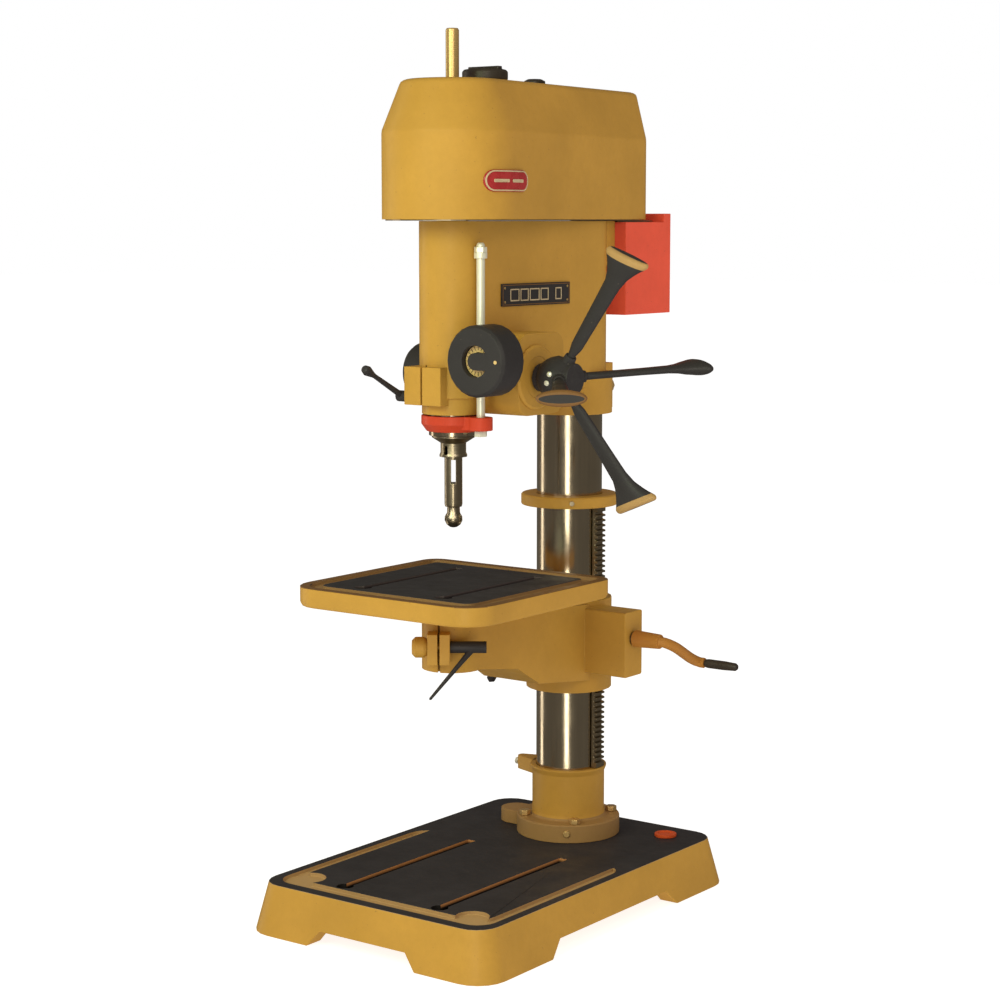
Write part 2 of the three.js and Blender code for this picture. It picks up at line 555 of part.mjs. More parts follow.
// The rack pinion's shaft crosses the head: return spring on its left end, feed handle on its right.
function addFeed() {
  const shaft = join(
    alongX(disc(12, -96, HUB_X + 6, 24)),
    alongX(gear(PINION_TEETH, MODULE, 30).rotateZ(Math.PI / PINION_TEETH)),
  );
  const flat = block(-97, -60, 9, 20, -20, 12);
  add('feed_pinion_shaft', cut(shaft, flat), STEEL, 0, FEED_Y, FEED_Z);

  const drum = cut(
    alongX(turned([[0, -52], [42, -52], [42, -96], [38, -102], [30, -104], [0, -104]], 24)),
    alongX(disc(37, -99, -50, 24)),
  );
  add('spring_housing', drum, BLACK, 0, FEED_Y, FEED_Z);
  add('return_spring', spiralSpring(), STEEL, 0, FEED_Y, FEED_Z);

  const ball = new THREE.SphereGeometry(32, 16, 8);
  const hub = join(
    ball.translate(HUB_X, 0, 0),
    alongX(disc(24, HUB_X, HUB_X + 29, 28, 22)),
    alongX(disc(20, 116, HUB_X, 24)),
  );
  const sockets = ARM_ANGLES.map((angle) => armPiece(angle, [[22, 22, 22], [40, 17, 17]], 10));
  const holes = ARM_ANGLES.map((angle) => armPiece(angle, [[27, 11.6, 11.6], [60, 11.6, 11.6]], 10));
  const hubBody = cut(join(hub, ...sockets), alongX(disc(12 + GAP, 100, HUB_X + 6 + GAP, 24)), ...holes);
  add('feed_hub', hubBody, BLACK, 0, FEED_Y, FEED_Z);

  ARM_ANGLES.forEach((angle, i) => {
    const arm = armPiece(angle, [
      [27.5, 11, 11], [41, 11, 11], [58, 19, 10.5], [ARM_LENGTH - 90, 23, 10.5], [ARM_LENGTH - 50, 26, 11.5],
      [ARM_LENGTH - 36, 34, 14], [ARM_LENGTH - 24, 46, 19], [ARM_LENGTH - 8, 70, 23],
      [ARM_LENGTH - 2, 70, 20], [ARM_LENGTH, 62, 12],
    ], 14);
    add(`feed_arm_${i + 1}`, arm, BLACK, 0, FEED_Y, FEED_Z);
  });
}

// The arms stand out from the hub's centre, dished away from the head. Each section is an ellipse:
// [distance along the arm, width along the dish, thickness round the dish].
function armPiece(angle, sections, steps) {
  const radial = new THREE.Vector3(0, Math.cos(angle), Math.sin(angle));
  const axis = new THREE.Vector3(1, 0, 0);
  const along = radial.clone().multiplyScalar(Math.cos(ARM_DISH)).addScaledVector(axis, Math.sin(ARM_DISH));
  const square = axis.clone().multiplyScalar(Math.cos(ARM_DISH)).addScaledVector(radial, -Math.sin(ARM_DISH));
  const round = new THREE.Vector3().crossVectors(along, square);
  return loft(sections.map(([distance, width, thick]) => {
    const wide = square.clone().addScaledVector(axis, width > PADDLE.width ? PADDLE.tilt : 0).normalize();
    return Array.from({ length: steps }, (_, i) => {
      const turn = (2 * Math.PI * i) / steps;
      return new THREE.Vector3(HUB_X, 0, 0)
        .addScaledVector(along, distance)
        .addScaledVector(wide, (width / 2) * Math.cos(turn))
        .addScaledVector(round, (thick / 2) * Math.sin(turn));
    });
  }));
}

// A clock spring: a flat ribbon wound from the shaft out to the housing wall.
function spiralSpring() {
  const [inner, outer, turns, steps, thick] = [14, 34, 3, 16, 1.8];
  const total = turns * steps;
  const edge = (offset) => Array.from({ length: total + 1 }, (_, i) => {
    const radius = inner + ((outer - inner) * i) / total + offset;
    const angle = (2 * Math.PI * i) / steps;
    return new THREE.Vector2(radius * Math.cos(angle), radius * Math.sin(angle));
  });
  const points = [...edge(thick), ...edge(0).reverse()];
  return alongX(plate(points, -94, -72));
}

// Fine feed: a handwheel facing the operator turns a worm against a wheel on the feed shaft.
function addFineFeed() {
  const [face, rear] = [-371, -320];
  const profile = [[0, -rear], [46, -rear], [50, -rear + 4], [50, -face - 5], [46, -face], [0, -face]];
  const wheel = cut(
    towardsOperator(turned(profile, 24)),
    towardsOperator(disc(42, -rear - 1, -face - 9, 24)),
  );
  const boss = towardsOperator(disc(14, -rear + 2, -face - 8, 24));
  const window = cut(
    towardsOperator(disc(22, -face - 12, -face + 2, 24)),
    towardsOperator(disc(12, -face - 14, -face + 4, 24)),
    block(4, 40, face - 5, face + 15, -12, 12),
  );
  const bore = towardsOperator(disc(7 + GAP, 300, -rear + 30, 12));
  add('fine_feed_wheel', cut(join(wheel, boss), window, bore), BLACK, WORM.x, 0, WORM.z);
  const shaft = join(
    towardsOperator(disc(7, -FEED_Y - 7, -rear + 29, 12)),
    towardsOperator(disc(WORM.radius, -FEED_Y - 7, -FEED_Y + 18, 12)),
    towardsOperator(disc(5, -FEED_Y - 24, -FEED_Y - 6, 12)),
  );
  add('worm_shaft', shaft, STEEL, WORM.x, 0, WORM.z);
  const wheelBlank = cut(
    alongX(gear(20, 1.8, 12)),
    alongX(disc(12 + GAP, -20, 20, 24)),
  );
  add('worm_wheel', wheelBlank, BRASS, WORM.x, FEED_Y, FEED_Z);
}

function addQuillLock() {
  const [y, z] = [-338, HEAD.bottom + 1];
  const knob = turned([[0, 0], [3.4, 1], [7.4, 17], [5.6, 24], [0, 26]], 12);
  const lever = join(
    alongX(disc(5, -46, 14, 12)),
    alongX(disc(8, -62, -44, 12)),
    between([-55, 0, 0], [-55, -78, 40], turned([[0, 0], [4.6, 0], [3.2, 78], [0, 78]], 12)),
    between([-55, -62.3, 31.9], [-55, -78, 40], knob),
  );
  add('quill_lock_lever', lever, BLACK, 0, y, z);
}

// The table: a rim and a gutter round a slotted working face, on a spigot that turns in the arm.
function addTable() {
  const { halfX, halfY, top, thick, corner, rearCorner } = TABLE;
  const outline = (inset) => roundedRectangle(
    -halfX + inset, halfX - inset, -halfY + inset, halfY - inset,
    Math.max(corner - inset, 12), 5, Math.max(rearCorner - inset, 8),
  );
  const body = loft([
    levelRing(outline(3), top - thick),
    levelRing(outline(0), top - thick + 5),
    levelRing(outline(0), top),
  ]);
  const gutter = cut(
    plate(outline(15), top - 5, top + 1),
    plate(outline(33), top - 6, top + 2),
  );
  const boss = disc(62, top - thick - 3, top - thick + 1, 32, 70);
  const shaped = cut(
    join(body, boss), gutter, teeSlot(-72, -112, 112, top), teeSlot(72, -112, 112, top),
    disc(22 + GAP, top - thick - 5, top - 12, 24),
  );
  add('table', shaped, OCHRE, 0, TABLE.y, 0);
  const stem = join(
    disc(22, top - thick - 4, top - 12 - GAP, 24),
    disc(STEM_RADIUS, 392, top - thick - 3 - GAP, 24),
  );
  add('table_stem', stem, STEEL, 0, TABLE.y, 0);
}

function addArm() {
  const { bottom, top, hubRadius, bossRadius, bossBottom, bossTop } = ARM;
  const web = loft([
    [TABLE.y, 43, bossBottom + 2, bossTop - 4],
    [-200, 48, 366, 456],
    [-150, 52, 336, 448],
    [-30, 60, 322, 440],
  ].map(([y, half, low, high]) => [
    new THREE.Vector3(-half, y, low), new THREE.Vector3(half, y, low),
    new THREE.Vector3(half, y, high), new THREE.Vector3(-half, y, high),
  ]));
  const corner = new THREE.Shape(roundedRectangle(-43, 4, 336, 435, 3, 2));
  const gearBlock = alongX(new THREE.ExtrudeGeometry(corner, { depth: 132 - 45, bevelEnabled: false })
    .rotateZ(Math.PI / 2)).translate(45, 0, 0);
  const atClamp = (geometry) => geometry.rotateZ(CLAMP.turn).translate(0, TABLE.y, 0);
  const clampEars = atClamp(block(-34, -2, -CLAMP.reach - 13, -36, 394, 438));
  const columnEars = block(-98, -60, -17, 17, 340, 410);
  const body = join(
    disc(hubRadius, bottom, top, 24),
    disc(bossRadius, bossBottom, bossTop, 24).translate(0, TABLE.y, 0),
    web, gearBlock, clampEars, columnEars,
  );
  const cuts = [
    disc(COLUMN.radius + GAP, 200, 500, 32),
    disc(STEM_RADIUS + GAP, 390, 500, 24).translate(0, TABLE.y, 0),
    disc(10, 370, 400, 12).translate(0, TABLE.y, 0),
    block(40, LIFT_RACK_LINE + 4.6, -11.6, 11.6, 200, 500),
    block(54, 88, -31, 13, LIFT.z - 16, CRANK.z + 11),
    alongX(disc(CRANK.bore, 80, 140, 16)).translate(0, CRANK.y, CRANK.z),
    alongY(disc(6 + GAP, -38, 20, 12)).translate(LIFT.x, 0, LIFT.z),
    atClamp(block(-19.5, -16.5, -CLAMP.reach - 15, -30, 370, 480)),
    atClamp(alongX(disc(5 + GAP, -40, 4, 12)).translate(0, -CLAMP.reach, CLAMP.z)),
    block(-100, -45, -1.5, 1.5, 290, 460),
    alongY(disc(5 + GAP, -20, 20, 12)).translate(-84, 0, 375),
  ];
  add('table_arm', cut(body, ...cuts), OCHRE);
}

// Table clamp: a pinch bolt across the split boss with an angled lever.
function addClamps() {
  const bolt = join(
    alongX(disc(5, -38, 6, 12)),
    alongX(turned([[0, -56], [10, -56], [15, -51], [15, -39], [12, -34 - GAP], [0, -34 - GAP]], 20)),
  );
  const lever = join(
    alongX(disc(8.5, -2 + GAP, 50, 20)),
    between([32, 0, 0], [-30, -38, -68], turned([[0, 0], [5, 0], [3.5, 30], [2, 98], [0, 100]], 12)),
  );
  const pieces = [
    add('table_clamp_bolt', bolt, OCHRE),
    add('table_clamp_lever', cut(lever, alongX(disc(5 + GAP, -10, 6.3, 12))), BLACK),
  ];
  for (const piece of pieces) {
    const [sin, cos] = [Math.sin(CLAMP.turn), Math.cos(CLAMP.turn)];
    piece.position.set(CLAMP.reach * sin, TABLE.y - CLAMP.reach * cos, CLAMP.z);
    piece.rotation.z = CLAMP.turn;
  }
  const armLever = join(
    alongY(disc(5, -30, 24, 12)),
    alongY(disc(9, -34, -17 - GAP, 12)),
    alongY(hexagon(9, 17 + GAP, 25)),
    between([0, -28, 0], [-42, -30, -70], turned([[0, 0], [5, 0], [3.4, 70], [7, 76], [7, 86], [0, 92]], 12)),
  );
  add('arm_clamp_lever', armLever, BLACK, -84, 0, 375);
}

function addLift() {
  const pitch = Math.PI * LIFT_MODULE;
  const [low, high] = [FOOT.top + 1.5, COLLAR.bottom - 1];
  const strip = block(COLUMN.radius + 0.6, LIFT_RACK_LINE + 2, -11, 11, low, high);
  const rounded = cut(strip, disc(COLUMN.radius + GAP, 100, 700, 32));
  const first = Math.ceil((low - LIFT.z + 4) / pitch);
  const last = Math.floor((high - LIFT.z - 4) / pitch);
  const gaps = Array.from({ length: last - first + 1 }, (_, i) => (
    rackGap(LIFT_MODULE, LIFT_RACK_LINE, LIFT.z + (first + i) * pitch, 12)
  ));
  add('column_rack', cut(rounded, ...gaps), STEEL);

  const pinion = join(
    alongY(gear(LIFT_TEETH, LIFT_MODULE, 12).rotateZ(Math.PI)),
    alongY(disc(6, -37, 19, 12)),
    alongY(gear(14, 1.7, 12)).translate(0, CRANK.y, 0),
  );
  add('lift_pinion', pinion, STEEL, LIFT.x, 0, LIFT.z);
  const shaft = join(
    alongX(disc(9, 90, 172, 12)),
    alongX(disc(8, 60, 91, 12)),
  );
  add('crank_shaft', shaft, STEEL, 0, CRANK.y, CRANK.z);

  const route = new THREE.CatmullRomCurve3([
    [163, 0, 0], [184, 3, -1], [192, 22, -10], [194, 45, -23], [194, 68, -35], [199, 81, -41.5],
    [208, 82, -42],
  ].map((p) => new THREE.Vector3(...p)));
  const section = new THREE.Shape(arc(0, 0, 8, 0, 2 * Math.PI - Math.PI / 5, 9));
  const bar = new THREE.ExtrudeGeometry(section, { steps: 16, extrudePath: route, bevelEnabled: false });
  const hub = alongX(disc(13, 136, 180, 20, 11));
  const pin = alongX(disc(2.5, 200, 256, 12)).translate(0, 82, -42);
  const crank = cut(join(hub, bar, pin), alongX(disc(9 + GAP, 130, 172.3, 20)));
  add('crank_arm', crank, OCHRE, 0, CRANK.y, CRANK.z);
  const grip = alongX(turned([[0, 210], [6, 210], [7, 215], [7, 242], [6, 262], [4, 265], [0, 265]], 16));
  const gripBore = alongX(disc(2.5 + GAP, 200, 257, 12));
  add('crank_grip', cut(grip, gripBore), BLACK, 0, CRANK.y + 82, CRANK.z - 42);
}

// Switch box on the left of the head, with a start and a stop button.
function addSwitch() {
  const shell = block(-84, -53.5, -32, 32, -48, 32);
  const holes = [16, -16].map((z) => alongX(disc(11 + GAP, -90, -70, 24)).translate(0, 0, z));
  const gland = disc(9, -60, -47, 12).translate(-68, 0, 0);
  const cableHole = disc(5, -62, -20, 12).translate(-68, 0, 0);
  add('switch_box', cut(join(shell, gland), ...holes, cableHole), BLACK, 0, -150, 900);
  add('start_button', alongX(disc(11, -88, -76, 24)), GREEN, 0, -150, 916);
  add('stop_button', alongX(disc(11, -91, -76, 24)), RED, 0, -150, 884);
}

addBase();
addColumn();
addHead();
addQuill();
addSpindle();
addDrive();
addHood();
addMotorShroud();
addFeed();
addFineFeed();
addQuillLock();
addTable();
addArm();
addClamps();
addLift();
addSwitch();

const part = new THREE.Group();
part.add(machine);

export default part;
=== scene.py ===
"""A column drill press: ochre castings, dark planed faces, a steel column and red fittings."""

import json
import math
from collections import namedtuple

import bmesh
import bpy
from mathutils import Matrix, Vector

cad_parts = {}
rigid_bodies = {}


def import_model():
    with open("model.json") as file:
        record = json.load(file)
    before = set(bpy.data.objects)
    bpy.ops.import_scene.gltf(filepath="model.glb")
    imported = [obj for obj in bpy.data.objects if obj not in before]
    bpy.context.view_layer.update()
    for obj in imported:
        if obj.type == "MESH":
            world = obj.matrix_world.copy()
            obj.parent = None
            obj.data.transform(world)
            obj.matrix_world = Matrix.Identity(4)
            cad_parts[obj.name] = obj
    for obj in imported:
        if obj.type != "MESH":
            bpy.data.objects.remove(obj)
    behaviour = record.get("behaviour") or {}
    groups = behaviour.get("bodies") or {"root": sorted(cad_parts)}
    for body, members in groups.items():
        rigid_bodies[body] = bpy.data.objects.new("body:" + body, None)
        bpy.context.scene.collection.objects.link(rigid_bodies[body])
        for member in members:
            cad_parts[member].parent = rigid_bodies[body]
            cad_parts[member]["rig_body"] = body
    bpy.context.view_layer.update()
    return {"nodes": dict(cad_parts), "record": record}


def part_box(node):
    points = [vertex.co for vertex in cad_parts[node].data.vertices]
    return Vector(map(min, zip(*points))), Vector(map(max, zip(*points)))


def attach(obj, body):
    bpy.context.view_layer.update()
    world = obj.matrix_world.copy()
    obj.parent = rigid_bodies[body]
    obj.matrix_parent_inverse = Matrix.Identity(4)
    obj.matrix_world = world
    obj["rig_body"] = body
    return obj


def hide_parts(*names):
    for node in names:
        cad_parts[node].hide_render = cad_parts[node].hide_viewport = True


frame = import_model()

SLOT_OF = {s["node"]: s["material_slot"] for s in frame["record"]["subparts"]}
BODY_OF = {n: o["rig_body"] for n, o in frame["nodes"].items()}


# ---------------------------------------------------------------- places and sizes

# Shapes are made in millimetres from the column's axis at floor level, with the front towards -Y.
# Material and studio values are in metres.
MM = 0.001

Point = namedtuple("Point", "x y z")


def in_mm(point, origin=(0, 0, 0)):
    return Point(*(round(c / MM - o, 3) for c, o in zip(point, origin)))


def halfway(a, b):
    return Point(*(round((p + q) / 2, 3) for p, q in zip(a, b)))


COLUMN_CENTRE = halfway(*map(in_mm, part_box("column")))
ORIGIN = Vector((COLUMN_CENTRE.x, COLUMN_CENTRE.y, 0))


def corners(node):
    """The lowest and highest corners of a CAD node at rest."""
    return [in_mm(corner, ORIGIN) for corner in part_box(node)]


def middle(node):
    return halfway(*corners(node))


BASE_TOP = corners("base_casting")[1].z
SEAT = BASE_TOP + 0.4  # what stands on the base keeps this clear of it
COLUMN_RADIUS, COLUMN_WALL = 50, 9
COLUMN_TOP = corners("column")[1].z
SOCKET_BORE = COLUMN_RADIUS + 0.4
COLLAR_BOTTOM, COLLAR_TOP = (corner.z for corner in corners("rack_collar"))
SPINDLE_Y = middle("spindle_pulley").y
MOTOR_Y = middle("motor_pulley").y
FEED_Y, FEED_Z = middle("gearbox_cover")[1:]
HUB = Vector((middle("feed_hub").x, FEED_Y, FEED_Z))
WHEEL = middle("fine_feed_wheel")
WHEEL_FACE = corners("fine_feed_wheel")[0].y
TABLE = middle("table")
TABLE_TOP = corners("table")[1].z
TABLE_HALF_WIDTH = corners("table")[1].x
TABLE_HALF_DEPTH = corners("table")[1].y - TABLE.y
ROD = middle("depth_rod")
BADGE = middle("hood_badge")
PLATE = middle("name_plate")

# The head and the hood are each the outline round a front and a rear circle.
HEAD_FRONT, HEAD_REAR = 48, 55
HOOD_FRONT, HOOD_REAR, HOOD_BOTTOM = 100, 53, 1020

# Feed arms: their angles about the hub, and how far they lean out of its plane.
ARM_ANGLES = [math.radians(a) for a in (95, 4, -86, -176)]
ARM_DISH = math.radians(36)
PADDLE_WIDTH, PADDLE_TILT = 30, 0.6  # wider sections belong to an arm's end, which leans outwards


# ---------------------------------------------------------------- materials


def fill(node, values):
    """Sets a shader node's inputs by name."""
    for socket, value in values.items():
        node.inputs[socket].default_value = value


class Look:
    """A Principled material under construction, with short calls for the nodes it needs."""

    def __init__(self, name, metallic=0.0, coat=0.0, specular=0.5):
        self.material = bpy.data.materials.new(name)
        self.material.use_nodes = True
        self.tree = self.material.node_tree
        self.shader = self.tree.nodes["Principled BSDF"]
        fill(self.shader, {"Metallic": metallic, "Coat Weight": coat, "Coat Roughness": 0.1,
                           "Specular IOR Level": specular})
        self.place = self.tree.nodes.new("ShaderNodeTexCoord").outputs["Object"]

    def link(self, source, target):
        self.tree.links.new(source, target)

    def stretched(self, x, y, z):
        """The place on the object with its axes scaled, so that a noise turns into lines."""
        node = self.tree.nodes.new("ShaderNodeMapping")
        fill(node, {"Scale": (x, y, z)})
        self.link(self.place, node.inputs["Vector"])
        return node.outputs["Vector"]

    def noise(self, scale, detail=4.0, rough=0.55, vector=None, distortion=0.0):
        node = self.tree.nodes.new("ShaderNodeTexNoise")
        fill(node, {"Scale": scale, "Detail": detail, "Roughness": rough, "Distortion": distortion})
        self.link(vector or self.place, node.inputs["Vector"])
        return node.outputs["Fac"]

    def ramp(self, value, low, high, to_low=0.0, to_high=1.0):
        node = self.tree.nodes.new("ShaderNodeMapRange")
        fill(node, {"From Min": low, "From Max": high, "To Min": to_low, "To Max": to_high})
        self.link(value, node.inputs["Value"])
        return node.outputs["Result"]

    def maths(self, operation, a, b):
        node = self.tree.nodes.new("ShaderNodeMath")
        node.operation = operation
        for socket, value in zip(node.inputs, (a, b)):
            if isinstance(value, float):
                socket.default_value = value
            else:
                self.link(value, socket)
        return node.outputs["Value"]

    def height(self, low, high):
        """0 below one level and 1 above another, in metres above the floor."""
        split = self.tree.nodes.new("ShaderNodeSeparateXYZ")
        self.link(self.place, split.inputs[0])
        return self.ramp(split.outputs["Z"], low, high)

    def mix(self, factor, a, b):
        node = self.tree.nodes.new("ShaderNodeMix")
        node.data_type = "RGBA"
        self.link(factor, node.inputs["Factor"])
        for key, value in (("A", a), ("B", b)):
            socket = [s for s in node.inputs if s.name == key and s.type == "RGBA"][0]
            if isinstance(value, tuple):
                socket.default_value = (*value, 1.0)
            else:
                self.link(value, socket)
        return [s for s in node.outputs if s.type == "RGBA"][0]

    def edges(self, radius):
        """How far the surface is from flat near an edge: 0 on faces, up to 1 on corners."""
        bevel = self.tree.nodes.new("ShaderNodeBevel")
        bevel.samples = 4
        fill(bevel, {"Radius": radius})
        real = self.tree.nodes.new("ShaderNodeNewGeometry")
        dot = self.tree.nodes.new("ShaderNodeVectorMath")
        dot.operation = "DOT_PRODUCT"
        self.link(bevel.outputs["Normal"], dot.inputs[0])
        self.link(real.outputs["Normal"], dot.inputs[1])
        return self.ramp(dot.outputs["Value"], 0.99, 0.82)

    def bump(self, height, distance):
        node = self.tree.nodes.new("ShaderNodeBump")
        fill(node, {"Distance": distance, "Strength": 1.0})
        self.link(height, node.inputs["Height"])
        self.link(node.outputs["Normal"], self.shader.inputs["Normal"])

    def finish(self, colour, roughness):
        self.link(colour, self.shader.inputs["Base Color"])
        self.link(roughness, self.shader.inputs["Roughness"])
        return self.material


def shade(colour, factor):
    return tuple(min(1.0, c * factor) for c in colour)


def painted(name, colour, under, roughness=0.42, wear=0.35, painted_shade=None):
    """Sprayed enamel over a casting: mottled, slightly orange-peeled, rubbed through at the edges.

    Between the two heights of its last argument the colour fades to black: painted shade, as falls down in
    a slot."""
    look = Look(name, specular=0.12)
    broad = look.ramp(look.noise(7.0, detail=3.0), 0.3, 0.7)
    dirt = look.ramp(look.noise(95.0, detail=6.0, rough=0.65), 0.35, 0.75)
    tone = look.mix(broad, shade(colour, 0.9), shade(colour, 1.07))
    tone = look.mix(look.maths("MULTIPLY", dirt, 0.22), tone, shade(colour, 0.72))
    edges = look.edges(0.0012)
    patches = look.ramp(look.noise(60.0, detail=5.0, rough=0.7), 0.5, 0.68, to_high=wear)
    rub = look.maths("MULTIPLY", edges, patches)
    specks = look.ramp(look.noise(260.0, detail=2.0, rough=0.5), 0.72, 0.76, to_high=0.5)
    tone = look.mix(look.maths("MAXIMUM", rub, specks), tone, under)
    rough = look.ramp(look.noise(30.0, detail=5.0), 0.3, 0.7, roughness - 0.07, roughness + 0.12)
    peel = look.noise(420.0, detail=2.0, rough=0.4)
    casting = look.noise(45.0, detail=4.0, rough=0.5)
    look.bump(look.maths("ADD", peel, look.maths("MULTIPLY", casting, 1.6)), 0.00012)
    # Painted shade: the colour goes black lower down, as in the depth of a slot.
    if painted_shade:
        tone = look.mix(look.height(*painted_shade), (0.012, 0.01, 0.009), tone)
    return look.finish(tone, rough)


def machined(name, colour, marks_scale, roughness=0.42, metallic=0.3):
    """Cast iron left from the planer: fine parallel tool marks, oil stains and dark pits."""
    look = Look(name, metallic=metallic, specular=0.15)
    marks = look.noise(1.0, detail=3.0, rough=0.6, vector=look.stretched(*marks_scale))
    stain = look.ramp(look.noise(13.0, detail=6.0, rough=0.62, distortion=0.4), 0.35, 0.72)
    tone = look.mix(stain, shade(colour, 0.86), shade(colour, 1.14))
    tone = look.mix(look.ramp(marks, 0.45, 0.8, to_high=0.4), tone, shade(colour, 1.5))
    pits = look.ramp(look.noise(330.0, detail=2.0), 0.68, 0.74, to_high=0.7)
    tone = look.mix(pits, tone, shade(colour, 0.35))
    tone = look.mix(look.maths("MULTIPLY", look.edges(0.0009), 0.5), tone, shade(colour, 3.2))
    oily = look.noise(19.0, detail=6.0, rough=0.6)
    rough = look.ramp(oily, 0.3, 0.75, roughness - 0.08, roughness + 0.2)
    look.bump(look.maths("SUBTRACT", marks, pits), 0.00006)
    return look.finish(tone, rough)


def metal(name, colour, lines_scale, roughness=0.22, contrast=0.16, wear=0.4, grain=0.00003, metallic=1.0):
    """Ground or turned metal whose fine lines run across the directions with the high scales."""
    look = Look(name, metallic=metallic)
    lines = look.noise(1.0, detail=4.0, rough=0.65, vector=look.stretched(*lines_scale))
    patina = look.ramp(look.noise(16.0, detail=5.0, rough=0.6), 0.35, 0.75)
    tone = look.mix(lines, shade(colour, 1.0 - contrast), shade(colour, 1.0 + contrast))
    tone = look.mix(look.maths("MULTIPLY", patina, 0.35), tone, shade(colour, 0.66))
    tone = look.mix(look.maths("MULTIPLY", look.edges(0.0007), wear), tone, shade(colour, 1.7))
    dull = look.ramp(patina, 0.0, 1.0, roughness - 0.04, roughness + 0.08)
    rough = look.maths("ADD", dull, look.ramp(lines, 0.3, 0.7, to_high=0.07))
    look.bump(lines, grain)
    return look.finish(tone, rough)


def moulded(name, colour, roughness=0.5, coat=0.0):
    """Moulded plastic or rubber with a faint grain and shiny handling marks."""
    look = Look(name, coat=coat, specular=0.3)
    grain = look.noise(900.0, detail=2.0, rough=0.5)
    blotch = look.ramp(look.noise(40.0, detail=5.0), 0.35, 0.7)
    tone = look.mix(blotch, shade(colour, 0.85), shade(colour, 1.15))
    tone = look.mix(look.maths("MULTIPLY", look.edges(0.0009), 0.4), tone, shade(colour, 1.9))
    rough = look.ramp(blotch, 0.0, 1.0, roughness - 0.1, roughness + 0.08)
    look.bump(grain, 0.00008)
    return look.finish(tone, rough)


PRIMER = (0.2, 0.1, 0.035)
BARE_IRON = (0.16, 0.13, 0.1)
RED_UNDER = (0.16, 0.04, 0.025)

LOOKS = {
    "ochre_paint": painted("ochre_enamel", (0.5, 0.265, 0.043), PRIMER),
    "red_paint": painted("red_enamel", (0.56, 0.055, 0.022), RED_UNDER, roughness=0.36),
    "black_paint": painted("black_enamel", (0.038, 0.034, 0.033), (0.14, 0.11, 0.085),
                           roughness=0.4, wear=0.45),
    "cast_iron": machined("planed_iron", (0.04, 0.035, 0.038), (35.0, 700.0, 60.0),
                          roughness=0.5, metallic=0.1),
    "polished_steel": metal("ground_steel", (0.55, 0.46, 0.33), (420.0, 420.0, 7.0), roughness=0.15),
    "bright_steel": metal("bright_steel", (0.92, 0.87, 0.68), (60.0, 60.0, 900.0), roughness=0.28,
                          contrast=0.05, wear=0.1, grain=0.000006, metallic=0.4),
    "dark_steel": metal("oiled_steel", (0.42, 0.35, 0.24), (50.0, 50.0, 800.0),
                        roughness=0.3, contrast=0.2),
    "brass": metal("turned_brass", (0.62, 0.4, 0.15), (50.0, 50.0, 700.0), roughness=0.24,
                   contrast=0.1, wear=0.2, grain=0.00001, metallic=0.6),
    "rubber": moulded("belt_rubber", (0.02, 0.02, 0.02), roughness=0.75),
    "black_plastic": moulded("black_moulding", (0.04, 0.03, 0.022), roughness=0.42),
    "red_plastic": moulded("red_moulding", (0.36, 0.024, 0.024), roughness=0.28, coat=0.3),
    "green_plastic": moulded("green_moulding", (0.05, 0.21, 0.08), roughness=0.3, coat=0.3),
}
BASE_GUTTER = painted("gutter_paint", (0.47, 0.29, 0.12), PRIMER, roughness=0.5, wear=0.4)
# A pale brown band on the ends of two feed arms: a painted highlight on their rims.
ARM_END_HIGHLIGHT = painted("arm_end_painted_highlight", (0.42, 0.25, 0.09), BARE_IRON, roughness=0.5, wear=0.6)
RIM = painted("rim_paint", (0.19, 0.092, 0.03), BARE_IRON, roughness=0.45, wear=0.5)
# The walls of the base's T-slots: a painted highlight along their top, where they catch the light, fading
# to painted shade lower down.
BASE_SLOT_WALL_LIT = painted("slot_wall_painted_light", (0.55, 0.24, 0.08), PRIMER, roughness=0.5, wear=0.2,
                         painted_shade=(0.066, 0.0695))
# The table's T-slots: a dark brown painted highlight along the top of the wall that catches the light,
# fading to painted shade lower down.
TABLE_SLOT_LIT = painted("table_slot_painted_light_and_shade", (0.1, 0.075, 0.07), PRIMER, roughness=0.5, wear=0.2,
                     painted_shade=(0.4975, 0.502))
TABLE_GUTTER = painted("table_gutter_paint", (0.3, 0.17, 0.065), PRIMER, roughness=0.5, wear=0.4)
FOOT_BROWN = painted("foot_enamel", (0.34, 0.19, 0.065), PRIMER, roughness=0.45, wear=0.4)
# A brighter copy of the red enamel for the motor shroud: painted light on a side that the lamps leave in
# shade.
MOTOR_RED_LIT = painted("motor_red_painted_light", (0.8, 0.1, 0.052), RED_UNDER, roughness=0.4)
PLUG_RED = painted("plug_red", (0.62, 0.085, 0.018), RED_UNDER, roughness=0.4)
CRANK_ORANGE = painted("crank_enamel", (0.46, 0.19, 0.035), PRIMER, roughness=0.4)
CREAM = moulded("cream_enamel", (0.5, 0.38, 0.22), roughness=0.45)
SCALE_GOLD = moulded("scale_lacquer", (0.66, 0.44, 0.17), roughness=0.4)


# ---------------------------------------------------------------- making pieces


def round_edges(bm, width, steps, degrees):
    """Rounds every edge that turns by more than an angle."""
    limit = math.radians(degrees)
    sharp = [e for e in bm.edges if len(e.link_faces) == 2 and e.calc_face_angle(0) > limit]
    bmesh.ops.bevel(bm, geom=sharp, offset=width, segments=steps, profile=0.5,
                    affect="EDGES", clamp_overlap=False, harden_normals=False)


